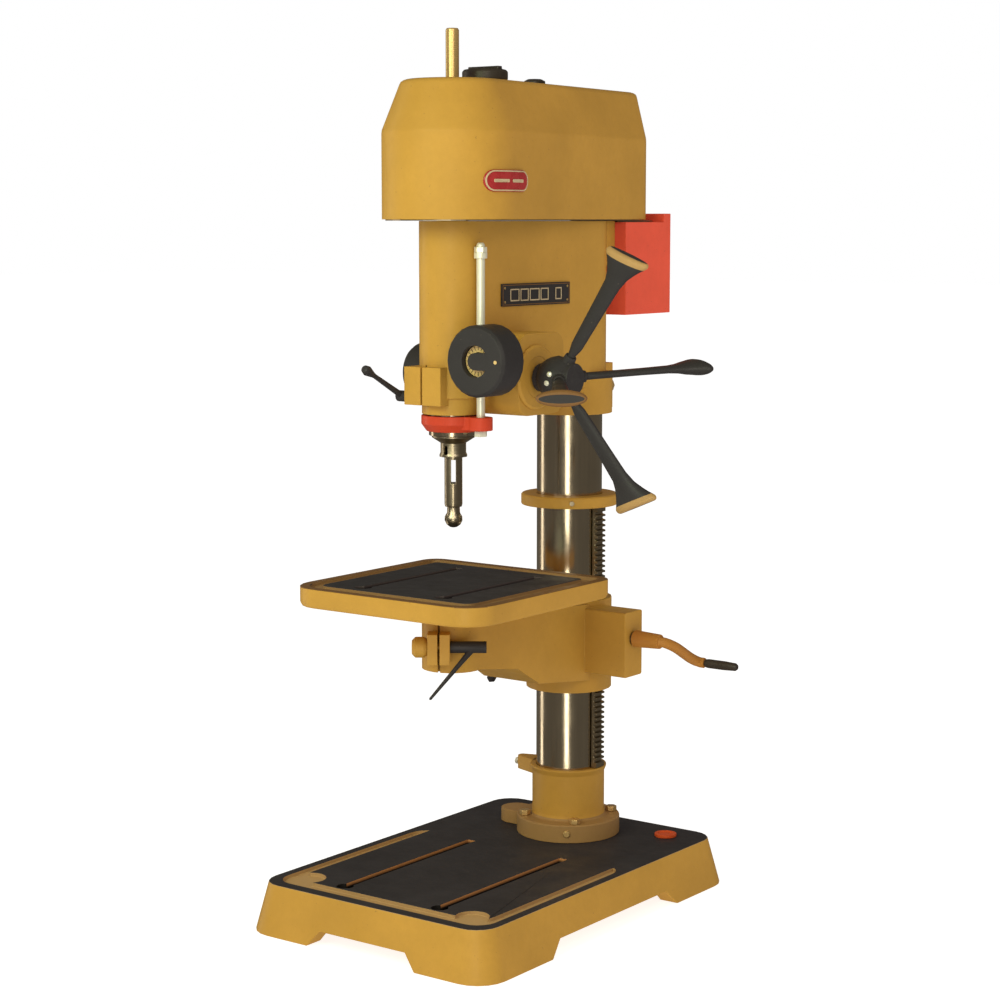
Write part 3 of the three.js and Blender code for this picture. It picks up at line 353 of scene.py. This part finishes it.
def place(bm, name, body, looks, stands_for=(), choose=None):
    """Turns a bmesh in millimetres into a piece that rides on its body.

    Where there is more than one look, choose gives the number of a face's look."""
    bmesh.ops.recalc_face_normals(bm, faces=bm.faces[:])
    bmesh.ops.dissolve_degenerate(bm, dist=0.002, edges=bm.edges[:])
    for face in bm.faces:
        face.smooth = True
        if choose:
            face.material_index = choose(face)
    bmesh.ops.translate(bm, verts=bm.verts[:], vec=ORIGIN)
    bmesh.ops.scale(bm, verts=bm.verts[:], vec=Vector((MM, MM, MM)))
    mesh = bpy.data.meshes.new(name)
    bm.to_mesh(mesh)
    bm.free()
    mesh.set_sharp_from_angle(angle=math.radians(40))
    piece = bpy.data.objects.new(name, mesh)
    bpy.context.scene.collection.objects.link(piece)
    for look in looks:
        mesh.materials.append(look)
    even = piece.modifiers.new("even_shading", "WEIGHTED_NORMAL")
    even.keep_sharp = True
    even.weight = 90
    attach(piece, body)
    if stands_for:
        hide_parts(*stands_for)
    return piece


def fixed(bm, name, slot, look=None, stands_for=()):
    """A piece of the frame, in one look: its slot's own, unless another is given."""
    return place(bm, name, "frame", [look or LOOKS[slot]], stands_for)


def cad_solid(node):
    """A CAD node as a welded bmesh in millimetres from the column's axis, with flat faces joined."""
    bm = bmesh.new()
    bm.from_mesh(frame["nodes"][node].data)
    bmesh.ops.scale(bm, verts=bm.verts[:], vec=Vector((1 / MM, 1 / MM, 1 / MM)))
    bmesh.ops.translate(bm, verts=bm.verts[:], vec=-ORIGIN)
    bmesh.ops.remove_doubles(bm, verts=bm.verts[:], dist=0.004)
    bmesh.ops.dissolve_limit(bm, angle_limit=math.radians(0.6), verts=bm.verts[:], edges=bm.edges[:])
    return bm


def refined(node, width, steps=2, degrees=32, looks=None, choose=None):
    """The CAD node's own shape with its edges eased, in the finish of its slot."""
    bm = cad_solid(node)
    round_edges(bm, width, steps, degrees)
    slot = SLOT_OF[node]
    return place(bm, f"{node}_finish", BODY_OF[node], looks or [LOOKS[slot]], (node,), choose)


def shell(rings, closed=False):
    """A skin through rings of equal length; its ends are capped unless the last ring meets the first."""
    bm = bmesh.new()
    rows = [[bm.verts.new(p) for p in ring] for ring in rings]
    pairs = list(zip(rows, rows[1:]))
    if closed:
        pairs.append((rows[-1], rows[0]))
    for low, high in pairs:
        for i in range(len(low)):
            j = (i + 1) % len(low)
            bm.faces.new((low[i], low[j], high[j], high[i]))
    if not closed:
        bm.faces.new(rows[0])
        bm.faces.new(rows[-1])
    bmesh.ops.recalc_face_normals(bm, faces=bm.faces[:])
    return bm


def filleted(points, radius, steps=4, closed=False):
    """A polyline with its corners turned into arcs. A point may give its own radius as a third number."""
    made = []
    count = len(points)
    for i, point in enumerate(points):
        here = Vector(point[:2])
        size = point[2] if len(point) > 2 else radius
        is_end = not closed and i in (0, count - 1)
        before, after = Vector(points[i - 1][:2]), Vector(points[(i + 1) % count][:2])
        if is_end or size <= 0 or (here - before).length < 1e-6 or (after - here).length < 1e-6:
            made.append(here)
            continue
        a, b = (before - here).normalized(), (after - here).normalized()
        bend = math.pi - a.angle(b)
        if bend < 0.05:
            made.append(here)
            continue
        reach = min(size * math.tan(bend / 2), 0.48 * (before - here).length, 0.48 * (after - here).length)
        start, end = here + a * reach, here + b * reach
        for k in range(steps + 1):
            t = k / steps
            made.append(start.lerp(here, t).lerp(here.lerp(end, t), t))
    return made


def circle(radius, z, steps, centre=(0, 0)):
    turns = [2 * math.pi * i / steps for i in range(steps)]
    return [Vector((centre[0] + radius * math.cos(a), centre[1] + radius * math.sin(a), z)) for a in turns]


def lathe(profile, centre=(0, 0), steps=96, closed=False, fillet=0.8):
    """A turned solid about a vertical axis, from (radius, height) pairs."""
    outline = filleted(profile, fillet, closed=closed)
    return shell([circle(max(radius, 0.01), z, steps, centre) for radius, z in outline], closed)


def arc(cx, cy, radius, start, end, steps):
    return [
        (cx + radius * math.cos(start + (end - start) * i / steps),
         cy + radius * math.sin(start + (end - start) * i / steps))
        for i in range(steps + 1)
    ]


def round_two(front, rear, steps=40):
    """The outline round two circles, on the spindle's and on the motor's axis, as a belt would lie."""
    lean = math.asin((front - rear) / (MOTOR_Y - SPINDLE_Y))
    return (arc(0, SPINDLE_Y, front, math.pi - lean, 2 * math.pi + lean, steps)
            + arc(0, MOTOR_Y, rear, lean, math.pi - lean, steps))


def rounded_box(x0, x1, y0, y1, radius, steps):
    q = math.pi / 2
    return (arc(x0 + radius, y0 + radius, radius, 2 * q, 3 * q, steps)
            + arc(x1 - radius, y0 + radius, radius, 3 * q, 4 * q, steps)
            + arc(x1 - radius, y1 - radius, radius, 0, q, steps)
            + arc(x0 + radius, y1 - radius, radius, q, 2 * q, steps))


def subdivided(points, step):
    """A closed outline with points added so that no edge is longer than the step."""
    made = []
    for i, point in enumerate(points):
        start, end = Vector(point[:2]), Vector(points[(i + 1) % len(points)][:2])
        parts = max(1, math.ceil((end - start).length / step))
        made.extend(start.lerp(end, k / parts) for k in range(parts))
    return made


def level(points, z):
    return [Vector((p[0], p[1], z)) for p in points]


def inset(points, distance):
    """A closed counter-clockwise outline moved inwards by a distance."""
    count = len(points)
    made = []
    for i, point in enumerate(points):
        here = Vector(point[:2])
        way = (Vector(points[(i + 1) % count][:2]) - Vector(points[i - 1][:2])).normalized()
        made.append(here + Vector((-way.y, way.x)) * distance)
    return made


def prism(outline, low, high, ease=0.8):
    """An upright slab with its top and bottom edges eased."""
    levels = [(ease, low), (0.3 * ease, low + 0.3 * ease), (0, low + ease), (0, high - ease),
              (0.3 * ease, high - 0.3 * ease), (ease, high)]
    return shell([level(inset(outline, d), z) for d, z in levels])


def hexagon(radius, low, high, ease=0.6):
    return prism(arc(0, 0, radius, 0, 2 * math.pi * 5 / 6, 5), low, high, ease)


def strip_frame(x0, x1, y0, y1, width, low, high):
    """A thin rectangular border standing on a face."""
    sides = [(x0, x1, y0, y0 + width), (x0, x1, y1 - width, y1),
             (x0, x0 + width, y0, y1), (x1 - width, x1, y0, y1)]
    return joined([prism([(a, c), (b, c), (b, d), (a, d)], low, high, 0.15) for a, b, c, d in sides])


def moved(bm, matrix):
    bmesh.ops.transform(bm, matrix=matrix, verts=bm.verts[:])
    return bm


def along_x(bm, y, z):
    """Lays a turned solid down so that its height runs along +X, on the axis at (y, z)."""
    return moved(bm, Matrix.Translation((0, y, z)) @ Matrix.Rotation(math.pi / 2, 4, "Y"))


def along_y(bm, x, z):
    """Lays a turned solid down so that its height runs along +Y, on the axis at (x, z)."""
    return moved(bm, Matrix.Translation((x, 0, z)) @ Matrix.Rotation(-math.pi / 2, 4, "X"))


def pointed(bm, start, direction):
    """Stands a solid that was made upright at the origin on a point, along a direction."""
    turn = Vector(direction).to_track_quat("Z", "Y").to_matrix().to_4x4()
    return moved(bm, Matrix.Translation(start) @ turn)


def joined(parts):
    """Several bmeshes as one, without merging their surfaces."""
    whole = bmesh.new()
    for part in parts:
        mesh = bpy.data.meshes.new("joined")
        part.to_mesh(mesh)
        whole.from_mesh(mesh)
        part.free()
        bpy.data.meshes.remove(mesh)
    return whole


# ---------------------------------------------------------------- base and column

# The zones of the base and of the table, in the order of their looks. The edge zone is the walls of
# the base's T-slots that catch the light, or the table's rim.
FLANK, PLANED, GUTTER, EDGE, SLOT = range(5)

BASE_SKIRT_TOP, BASE_RECESS = 44, 60  # heights: where the flanks end, and where the recesses lie above
BASE_BRIM_X, BASE_BRIM_FRONT, BASE_BRIM_REAR = 189.5, -475, 100
BASE_SLOT_X, BASE_SLOT_FRONT, BASE_SLOT_REAR, BASE_SLOT_MOUTH = 86, -450, -130, -424


def base_zone(face):
    x, y, z = face.calc_center_median()
    upright = face.normal.z
    at_brim = abs(x) > BASE_BRIM_X or y < BASE_BRIM_FRONT or y > BASE_BRIM_REAR
    if z < BASE_SKIRT_TOP or abs(upright) < 0.3 and at_brim:
        return FLANK
    if z > BASE_TOP - 1.2 and upright > 0.5:
        return PLANED
    if abs(abs(x) - BASE_SLOT_X) < 13.5 and BASE_SLOT_FRONT < y < BASE_SLOT_REAR:
        # Slot faces behind the mouths take the lit walls' painted highlight; the rest of each slot, and
        # all below, painted shade.
        return EDGE if y > BASE_SLOT_MOUTH and z > BASE_RECESS else SLOT
    return GUTTER if z > BASE_RECESS else FLANK


def build_base():
    # The slots' depths and mouths take a near-black iron: painted shade.
    dark = machined("slot_painted_shade", (0.02, 0.016, 0.014), (40.0, 40.0, 40.0), roughness=0.6)
    refined("base_casting", 1.2, 3, choose=base_zone,
            looks=[LOOKS["ochre_paint"], LOOKS["cast_iron"], BASE_GUTTER, BASE_SLOT_WALL_LIT, dark])
    flat, lip = SEAT + 3.2, SEAT + 4.5
    plug = lathe([(0.1, SEAT), (17, SEAT), (17, lip), (12, lip), (11, flat), (0.1, flat)],
                 middle("base_sump_plug")[:2])
    fixed(plug, "sump_plug_face", "red_paint", PLUG_RED, ("base_sump_plug",))
    for i in range(4):
        refined(f"foot_bolt_{i + 1}", 0.6, looks=[LOOKS["brass"]])


def build_column():
    """The tube, the collar that holds the rack's top with its set screw, and the rack."""
    bore = COLUMN_RADIUS - COLUMN_WALL
    tube = lathe([(COLUMN_RADIUS, SEAT), (COLUMN_RADIUS, COLUMN_TOP), (bore, COLUMN_TOP), (bore, SEAT)],
                 steps=128, closed=True)
    fixed(tube, "column_tube", "polished_steel", stands_for=("column",))
    low, high = COLLAR_BOTTOM, COLLAR_TOP
    collar = lathe([(SOCKET_BORE, low), (73, low), (74, low + 1.5), (74, high - 2), (72, high),
                    (SOCKET_BORE, high)], closed=True)
    fixed(collar, "rack_collar_ring", "ochre_paint", stands_for=("rack_collar",))
    screw = pointed(hexagon(4, 0, 2.4, 0.4), (45, -58, (low + high) / 2), (0.61, -0.79, 0))
    fixed(screw, "rack_collar_screw", "dark_steel")
    refined("column_rack", 0.3, 1)


def build_foot():
    """The column's foot: a bolted flange, a socket with a flared rim, an ear and a pinch lug."""
    flange_top, socket_top = 100, 180
    ring = lathe([(SOCKET_BORE, SEAT), (80, SEAT), (80, flange_top, 2.5), (57.5, flange_top, 5),
                  (56, 108, 5), (56, 170, 4), (59, 177, 2), (59, socket_top), (SOCKET_BORE, socket_top)],
                 steps=120, closed=True, fillet=1.0)
    capsule = arc(-100, 0, 24, math.pi / 2, 3 * math.pi / 2, 24) + [(-60, -24), (-60, 24)]
    ear = prism(capsule, SEAT, 94, 1.5)
    tongue = [(-52, 20), *arc(-86, 0, 9, 0.72 * math.pi, 1.28 * math.pi, 10), (-52, -20)]
    lug = prism(tongue, 158, socket_top, 1.2)
    place(joined([ring, ear, lug]), "column_socket", "frame", [FOOT_BROWN, LOOKS["ochre_paint"]],
          ("column_foot",),
          choose=lambda face: int(face.calc_center_median().z > flange_top + 4))
    screw = pointed(hexagon(5.5, 0, 5), (-95, 0, 169), (-1, 0, 0))
    fixed(screw, "socket_screw", "bright_steel")
    facing = math.radians(-57)
    out = Vector((math.cos(facing), math.sin(facing), 0))
    pin = lathe([(0.1, 0), (5.5, 0), (5.5, 3), (4.6, 4), (0.1, 4)], fillet=0.4, steps=32)
    fixed(pointed(pin, out * 78.5 + Vector((0, 0, 87)), out), "flange_screw", "brass")


# ---------------------------------------------------------------- head


def build_head():
    refined("head_casting", 0.8)
    refined("head_clamp_bolt", 0.6, looks=[LOOKS["brass"]])
    lid = lathe([(12.4, 108.4), (46, 108.4), (45.6, 110.5), (43, 113), (30, 113), (29, 112), (12.4, 112)],
                closed=True)
    fixed(along_x(lid, FEED_Y, FEED_Z), "gearbox_lid", "ochre_paint", stands_for=("gearbox_cover",))
    refined("motor_shroud", 1.0, 3, looks=[MOTOR_RED_LIT])
    for node in ("switch_box", "start_button", "stop_button"):
        refined(node, 1.5, 3)
    drum = lathe([(0.1, -104), (30, -104), (38, -102), (42, -96), (42, -52), (37, -52), (37, -99),
                  (0.1, -99)])
    fixed(along_x(drum, FEED_Y, FEED_Z), "spring_drum", "black_paint", stands_for=("spring_housing",))
    refined("quill_lock_lever", 0.5)


def build_hood():
    """The belt's hood, and the two knobs on it.

    Each ring has a front radius, a rear radius and a height. Both sets of rings run upwards, so the
    bottom is closed and a slanting skin joins the two sets inside the wall."""
    inside = [(97, 50, HOOD_BOTTOM), (97, 50, 1141), (70, 34, 1208), (62, 26, 1211)]
    outside = [
        (HOOD_FRONT, HOOD_REAR, HOOD_BOTTOM), (HOOD_FRONT, HOOD_REAR, 1139), (99.4, 52.6, 1144),
        (74.5, 38, 1207), (72.6, 36.6, 1210.5), (69, 33, 1212.8), (65, 29, 1214),
    ]
    hood = shell([level(round_two(front, rear), z) for front, rear, z in inside + outside])
    fixed(hood, "hood_skin", "ochre_paint", stands_for=("hood",))
    refined("tension_knob", 1.2, 3)
    refined("hood_latch_knob", 1.0, 3)


# ---------------------------------------------------------------- plate and badge


def build_name_plate():
    """A blank data plate: a border, five empty fields and four rivets."""
    refined("name_plate", 0.5)
    lean = math.asin((HEAD_FRONT - HEAD_REAR) / -SPINDLE_Y)
    out, along = HEAD_FRONT + 0.3, 130
    centre = Vector((out * math.cos(lean) - along * math.sin(lean),
                     SPINDLE_Y + out * math.sin(lean) + along * math.cos(lean), PLATE.z))
    lay = Matrix(((0, 0, 1, 0), (1, 0, 0, 0), (0, 1, 0, 0), (0, 0, 0, 1)))
    to_plate = Matrix.Translation(centre) @ Matrix.Rotation(lean, 4, "Z") @ lay
    face = 2.1
    border = strip_frame(-80, 80, -14.5, 14.5, 1.1, face, face + 0.5)
    fixed(moved(border, to_plate), "plate_border", "ochre_paint", RIM)
    spans = [(-64, -40), (-40, -18), (-18, 8), (8, 30), (44, 62)]
    fields = joined([strip_frame(a + 1.5, b - 1.5, -9, 8.5, 1.6, face, face + 0.6) for a, b in spans])
    fixed(moved(fields, to_plate), "plate_fields", "ochre_paint", CREAM)
    head = [(0.1, face), (1.9, face), (1.7, 2.7), (1.0, 3.1), (0.1, 3.2)]
    rivets = joined([
        moved(lathe(head, steps=20, fillet=0.2), Matrix.Translation((x, y, 0)))
        for x in (-75, 75) for y in (-10, 10)
    ])
    fixed(moved(rivets, to_plate), "plate_rivets", "brass")


def on_hood(outline, lift):
    """An outline about the badge's middle, laid on the hood's right side and lifted off it."""
    lean = math.asin((HOOD_FRONT - HOOD_REAR) / (MOTOR_Y - SPINDLE_Y))
    radius = HOOD_FRONT + lift
    corner = SPINDLE_Y + radius * math.sin(lean)
    ring = []
    for u, v in outline:
        y = BADGE.y + u
        if y < corner:
            x = math.sqrt(radius ** 2 - (y - SPINDLE_Y) ** 2)
        else:
            x = radius * math.cos(lean) - (y - corner) * math.tan(lean)
        ring.append(Vector((x, y, BADGE.z + v)))
    return ring


def build_badge():
    """A blank enamel badge that follows the hood's side, with a pale rim and two pale bars."""
    refined("hood_badge", 0.8)
    low, high, step = 2.8, 3.5, 2.5
    outer = subdivided(rounded_box(-45, 45, -14, 14, 13.9, 16), step)
    inner = inset(outer, 1.7)
    rim = shell([on_hood(outer, low), on_hood(outer, high), on_hood(inner, high), on_hood(inner, low)],
                closed=True)
    fixed(rim, "badge_rim", "ochre_paint", CREAM)
    bars = [subdivided(rounded_box(a, b, -2.2, 2.2, 1.2, 4), step) for a, b in ((-32, -4), (4, 32))]
    fixed(joined([shell([on_hood(bar, low), on_hood(bar, high)]) for bar in bars]), "badge_bars",
          "ochre_paint", CREAM)


# ---------------------------------------------------------------- quill and feed


def build_quill():
    refined("quill", 0.5)
    refined("quill_collar", 1.2, 3)
    nose_top = 740  # the spindle is oiled steel below this height, and brass above it
    refined("spindle", 0.5, looks=[LOOKS["brass"], LOOKS["dark_steel"]],
            choose=lambda face: int(face.calc_center_median().z < nose_top))
    nut = moved(hexagon(9.5, 716.5, 724.4), Matrix.Translation((ROD.x, ROD.y, 0)))
    place(nut, "rod_nut", "quill", [LOOKS["bright_steel"]])
    refined("drill_sleeve", 0.6)
    refined("countersink", 0.3)
    refined("depth_rod", 0.6)
    refined("depth_stop_nut", 0.5)


# An arm's distance from the hub's centre, width and thickness, from its shank to its paddle's end.
ARM_SECTIONS = [
    (27.6, 11, 11), (41, 11, 11), (46, 13, 10.8), (52, 16.2, 10.6), (58, 19, 10.5), (125, 23, 10.5),
    (165, 26, 11.5), (179, 34, 14), (191, 46, 19), (199, 56, 21), (204, 64, 22.5), (208, 69.6, 23),
    (211, 69.6, 22), (213.5, 67, 19), (215, 62, 12),
]
# The band on each arm's end, and the section that it starts from: a pale brown painted highlight on two
# arms, a dark brown band on another, none on the last.
ARM_ENDS = [(10, ARM_END_HIGHLIGHT), (len(ARM_SECTIONS), ARM_END_HIGHLIGHT), (10, ARM_END_HIGHLIGHT), (11, RIM)]


def feed_arm(angle, painted_from, steps=32):
    radial = Vector((0, math.cos(angle), math.sin(angle)))
    axis = Vector((1, 0, 0))
    along = radial * math.cos(ARM_DISH) + axis * math.sin(ARM_DISH)
    square = axis * math.cos(ARM_DISH) - radial * math.sin(ARM_DISH)
    across = along.cross(square)
    rings = []
    for distance, width, thick in ARM_SECTIONS:
        wide = (square + axis * (PADDLE_TILT if width > PADDLE_WIDTH else 0)).normalized()
        rings.append([
            HUB + along * distance + wide * (width / 2 * math.cos(2 * math.pi * i / steps))
            + across * (thick / 2 * math.sin(2 * math.pi * i / steps))
            for i in range(steps)
        ])
    bm = shell(rings)
    bm.faces.ensure_lookup_table()
    for face in bm.faces[painted_from * steps:(len(rings) - 1) * steps]:
        face.material_index = 1
    return bm


def build_feed():
    refined("feed_hub", 1.0)
    for i, (angle, (painted_from, paint)) in enumerate(zip(ARM_ANGLES, ARM_ENDS)):
        place(feed_arm(angle, painted_from), f"feed_arm_{i + 1}_bar", "feed_shaft",
              [LOOKS["black_paint"], paint], (f"feed_arm_{i + 1}",))
    head = [(0.1, 0), (3.8, 0), (3.8, 1.2), (2.6, 2.2), (0.1, 2.4)]
    for i, way in enumerate([(0.05, -0.985, -0.16), (0.18, -0.955, 0.235)]):
        direction = Vector(way).normalized()
        screw = pointed(lathe(head, steps=28, fillet=0.3), HUB + direction * 31.2, direction)
        place(screw, f"hub_screw_{i + 1}", "feed_shaft", [LOOKS["bright_steel"]])


def on_wheel(bm):
    """Turns a solid whose height is measured along +Y onto the handwheel's axis."""
    return along_y(bm, WHEEL.x, WHEEL.z)


def build_fine_feed():
    """The handwheel, with a gold scale behind its window and an index mark on its face."""
    refined("fine_feed_wheel", 1.0)
    front, rear = WHEEL_FACE + 9.5, WHEEL_FACE + 10.8
    scale = lathe([(12.6, front), (21.4, front), (21.4, rear), (12.6, rear)], steps=64, closed=True,
                  fillet=0.2)
    place(on_wheel(scale), "feed_scale", "fine_feed", [SCALE_GOLD])
    ticks = []
    for k in range(20):
        mark = prism([(15, -0.35), (20, -0.35), (20, 0.35), (15, 0.35)], front - 0.6, front + 0.2, 0.1)
        ticks.append(moved(mark, Matrix.Rotation(2 * math.pi * k / 20, 4, "Z")))
    place(on_wheel(joined(ticks)), "feed_scale_ticks", "fine_feed", [LOOKS["black_paint"]])
    low, high = WHEEL_FACE - 0.6, WHEEL_FACE + 0.5
    dot = moved(lathe([(0.1, low), (2.6, low), (2.6, high), (0.1, high)], steps=24, fillet=0.2),
                Matrix.Translation((36, 0, 0)))
    place(on_wheel(dot), "index_dot", "fine_feed", [SCALE_GOLD])


# ---------------------------------------------------------------- table


def from_table_edge(vert):
    return min(TABLE_HALF_WIDTH - abs(vert.co.x), TABLE_HALF_DEPTH - abs(vert.co.y - TABLE.y))


def table_zone(face):
    """Which zone a face is in, by its height and its vertices' mean distance from the table's edge."""
    x, y, z = face.calc_center_median()
    slot_x, slot_half_width, slot_half_length = 72, 13, 126
    flank_reach, channel_reach, rim_reach = 1.5, 12, 16
    in_slot = abs(abs(x) - slot_x) < slot_half_width and abs(y - TABLE.y) < slot_half_length
    if z < TABLE_TOP - 7 and not in_slot:
        return FLANK
    reach = sum(map(from_table_edge, face.verts)) / len(face.verts)
    if z > TABLE_TOP - 0.5:
        return EDGE if reach < rim_reach else PLANED
    if reach < flank_reach and face.normal.z < 0.6:
        return FLANK
    if reach < channel_reach:
        return EDGE
    return SLOT if in_slot else GUTTER


def build_table():
    refined("table", 1.2, 3, choose=table_zone,
            looks=[LOOKS["ochre_paint"], LOOKS["cast_iron"], TABLE_GUTTER, RIM, TABLE_SLOT_LIT])
    refined("table_stem", 0.6)
    refined("table_arm", 0.7)
    refined("table_clamp_bolt", 0.8)
    refined("table_clamp_lever", 0.4)
    refined("arm_clamp_lever", 0.4)
    refined("crank_arm", 0.6, degrees=50, looks=[CRANK_ORANGE])
    refined("crank_grip", 0.4)
    refined("crank_shaft", 0.6)


def finish_hidden_nodes():
    """Working parts that stay as the CAD has them take the finish of their slots."""
    for name, node in frame["nodes"].items():
        if not node.hide_render:
            node.data.materials.clear()
            node.data.materials.append(LOOKS[SLOT_OF[name]])


# ---------------------------------------------------------------- studio


def build_floor():
    bm = bmesh.new()
    bmesh.ops.create_grid(bm, x_segments=1, y_segments=1, size=30)
    mesh = bpy.data.meshes.new("floor")
    bm.to_mesh(mesh)
    bm.free()
    floor = bpy.data.objects.new("floor", mesh)
    floor.location.z = -0.0005
    bpy.context.scene.collection.objects.link(floor)
    look = bpy.data.materials.new("pale_floor")
    look.use_nodes = True
    fill(look.node_tree.nodes["Principled BSDF"], {
        "Base Color": (0.5, 0.5, 0.5, 1), "Roughness": 0.95, "Specular IOR Level": 0.0,
        "Emission Color": (1, 1, 1, 1), "Emission Strength": 0.82,
    })
    mesh.materials.append(look)
    floor.visible_shadow = False
    floor.visible_glossy = False


def softbox(name, azimuth, elevation, distance, width, power, colour, target=(0, 0, 0.65), height=None,
            gloss_only=False):
    """An area lamp seen from its target at this compass angle, 0 in front and 90 on the right."""
    a, e = math.radians(azimuth), math.radians(elevation)
    direction = Vector((math.sin(a) * math.cos(e), -math.cos(a) * math.cos(e), math.sin(e)))
    lamp = bpy.data.lights.new(name, "AREA")
    lamp.shape = "RECTANGLE"
    lamp.size = width
    lamp.size_y = height or width
    lamp.energy = power
    lamp.color = colour
    holder = bpy.data.objects.new(name, lamp)
    holder.location = Vector(target) + direction * distance
    holder.rotation_euler = (-direction).to_track_quat("-Z", "Y").to_euler()
    holder.visible_diffuse = not gloss_only
    bpy.context.scene.collection.objects.link(holder)


def build_lamps():
    """Three lamps that light the machine, and two tall strips that only show in its gloss."""
    softbox("key", -4, 24, 3.4, 1.6, 41, (1.0, 0.98, 0.9))
    softbox("head_glow", 5, 22, 1.7, 0.6, 7, (0.55, 1.0, 0.25), target=(0, -0.29, 1.05))
    softbox("side", 52, 22, 2.8, 1.2, 17, (1.0, 0.93, 0.86), target=(0, -0.3, 1.0))
    tall = {"target": (0, 0, 0.35), "height": 4.6, "gloss_only": True}
    softbox("strip", 29, 2, 3.6, 0.8, 56, (1.0, 0.95, 0.8), **tall)
    softbox("edge", -78, 2, 3.6, 0.7, 26, (1.0, 0.92, 0.8), **tall)


def build_world():
    """White to the camera, a warm mid grey as light, and dim in reflections."""
    world = bpy.data.worlds.new("studio")
    world.use_nodes = True
    tree = world.node_tree
    lit = tree.nodes["Background"]
    fill(lit, {"Color": (1, 0.94, 0.89, 1), "Strength": 0.5})
    seen = tree.nodes.new("ShaderNodeBackground")
    fill(seen, {"Color": (1, 1, 1, 1)})
    mirrored = tree.nodes.new("ShaderNodeBackground")
    fill(mirrored, {"Color": (1, 0.92, 0.8, 1), "Strength": 0.13})
    path = tree.nodes.new("ShaderNodeLightPath")
    for ray, shown in (("Is Glossy Ray", mirrored), ("Is Camera Ray", seen)):
        mix = tree.nodes.new("ShaderNodeMixShader")
        tree.links.new(path.outputs[ray], mix.inputs[0])
        tree.links.new(lit.outputs[0], mix.inputs[1])
        tree.links.new(shown.outputs[0], mix.inputs[2])
        lit = mix
    tree.links.new(lit.outputs[0], tree.nodes["World Output"].inputs["Surface"])
    bpy.context.scene.world = world
    bpy.context.scene.view_settings.view_transform = "Standard"


def build_camera():
    tilt_down, turn = math.radians(7.1), math.radians(36.5)
    lens = bpy.data.cameras.new("camera")
    lens.lens = 81.13
    lens.sensor_width = 36
    lens.clip_end = 200
    camera = bpy.data.objects.new("camera", lens)
    camera.location = (1.9158, -2.6662, 1.0202)
    camera.rotation_euler = (math.pi / 2 - tilt_down, 0, turn)
    bpy.context.scene.collection.objects.link(camera)
    bpy.context.scene.camera = camera


build_camera()
build_world()
build_floor()
build_lamps()
build_base()
build_column()
build_foot()
build_head()
build_hood()
build_name_plate()
build_badge()
build_quill()
build_feed()
build_fine_feed()
build_table()
finish_hidden_nodes()
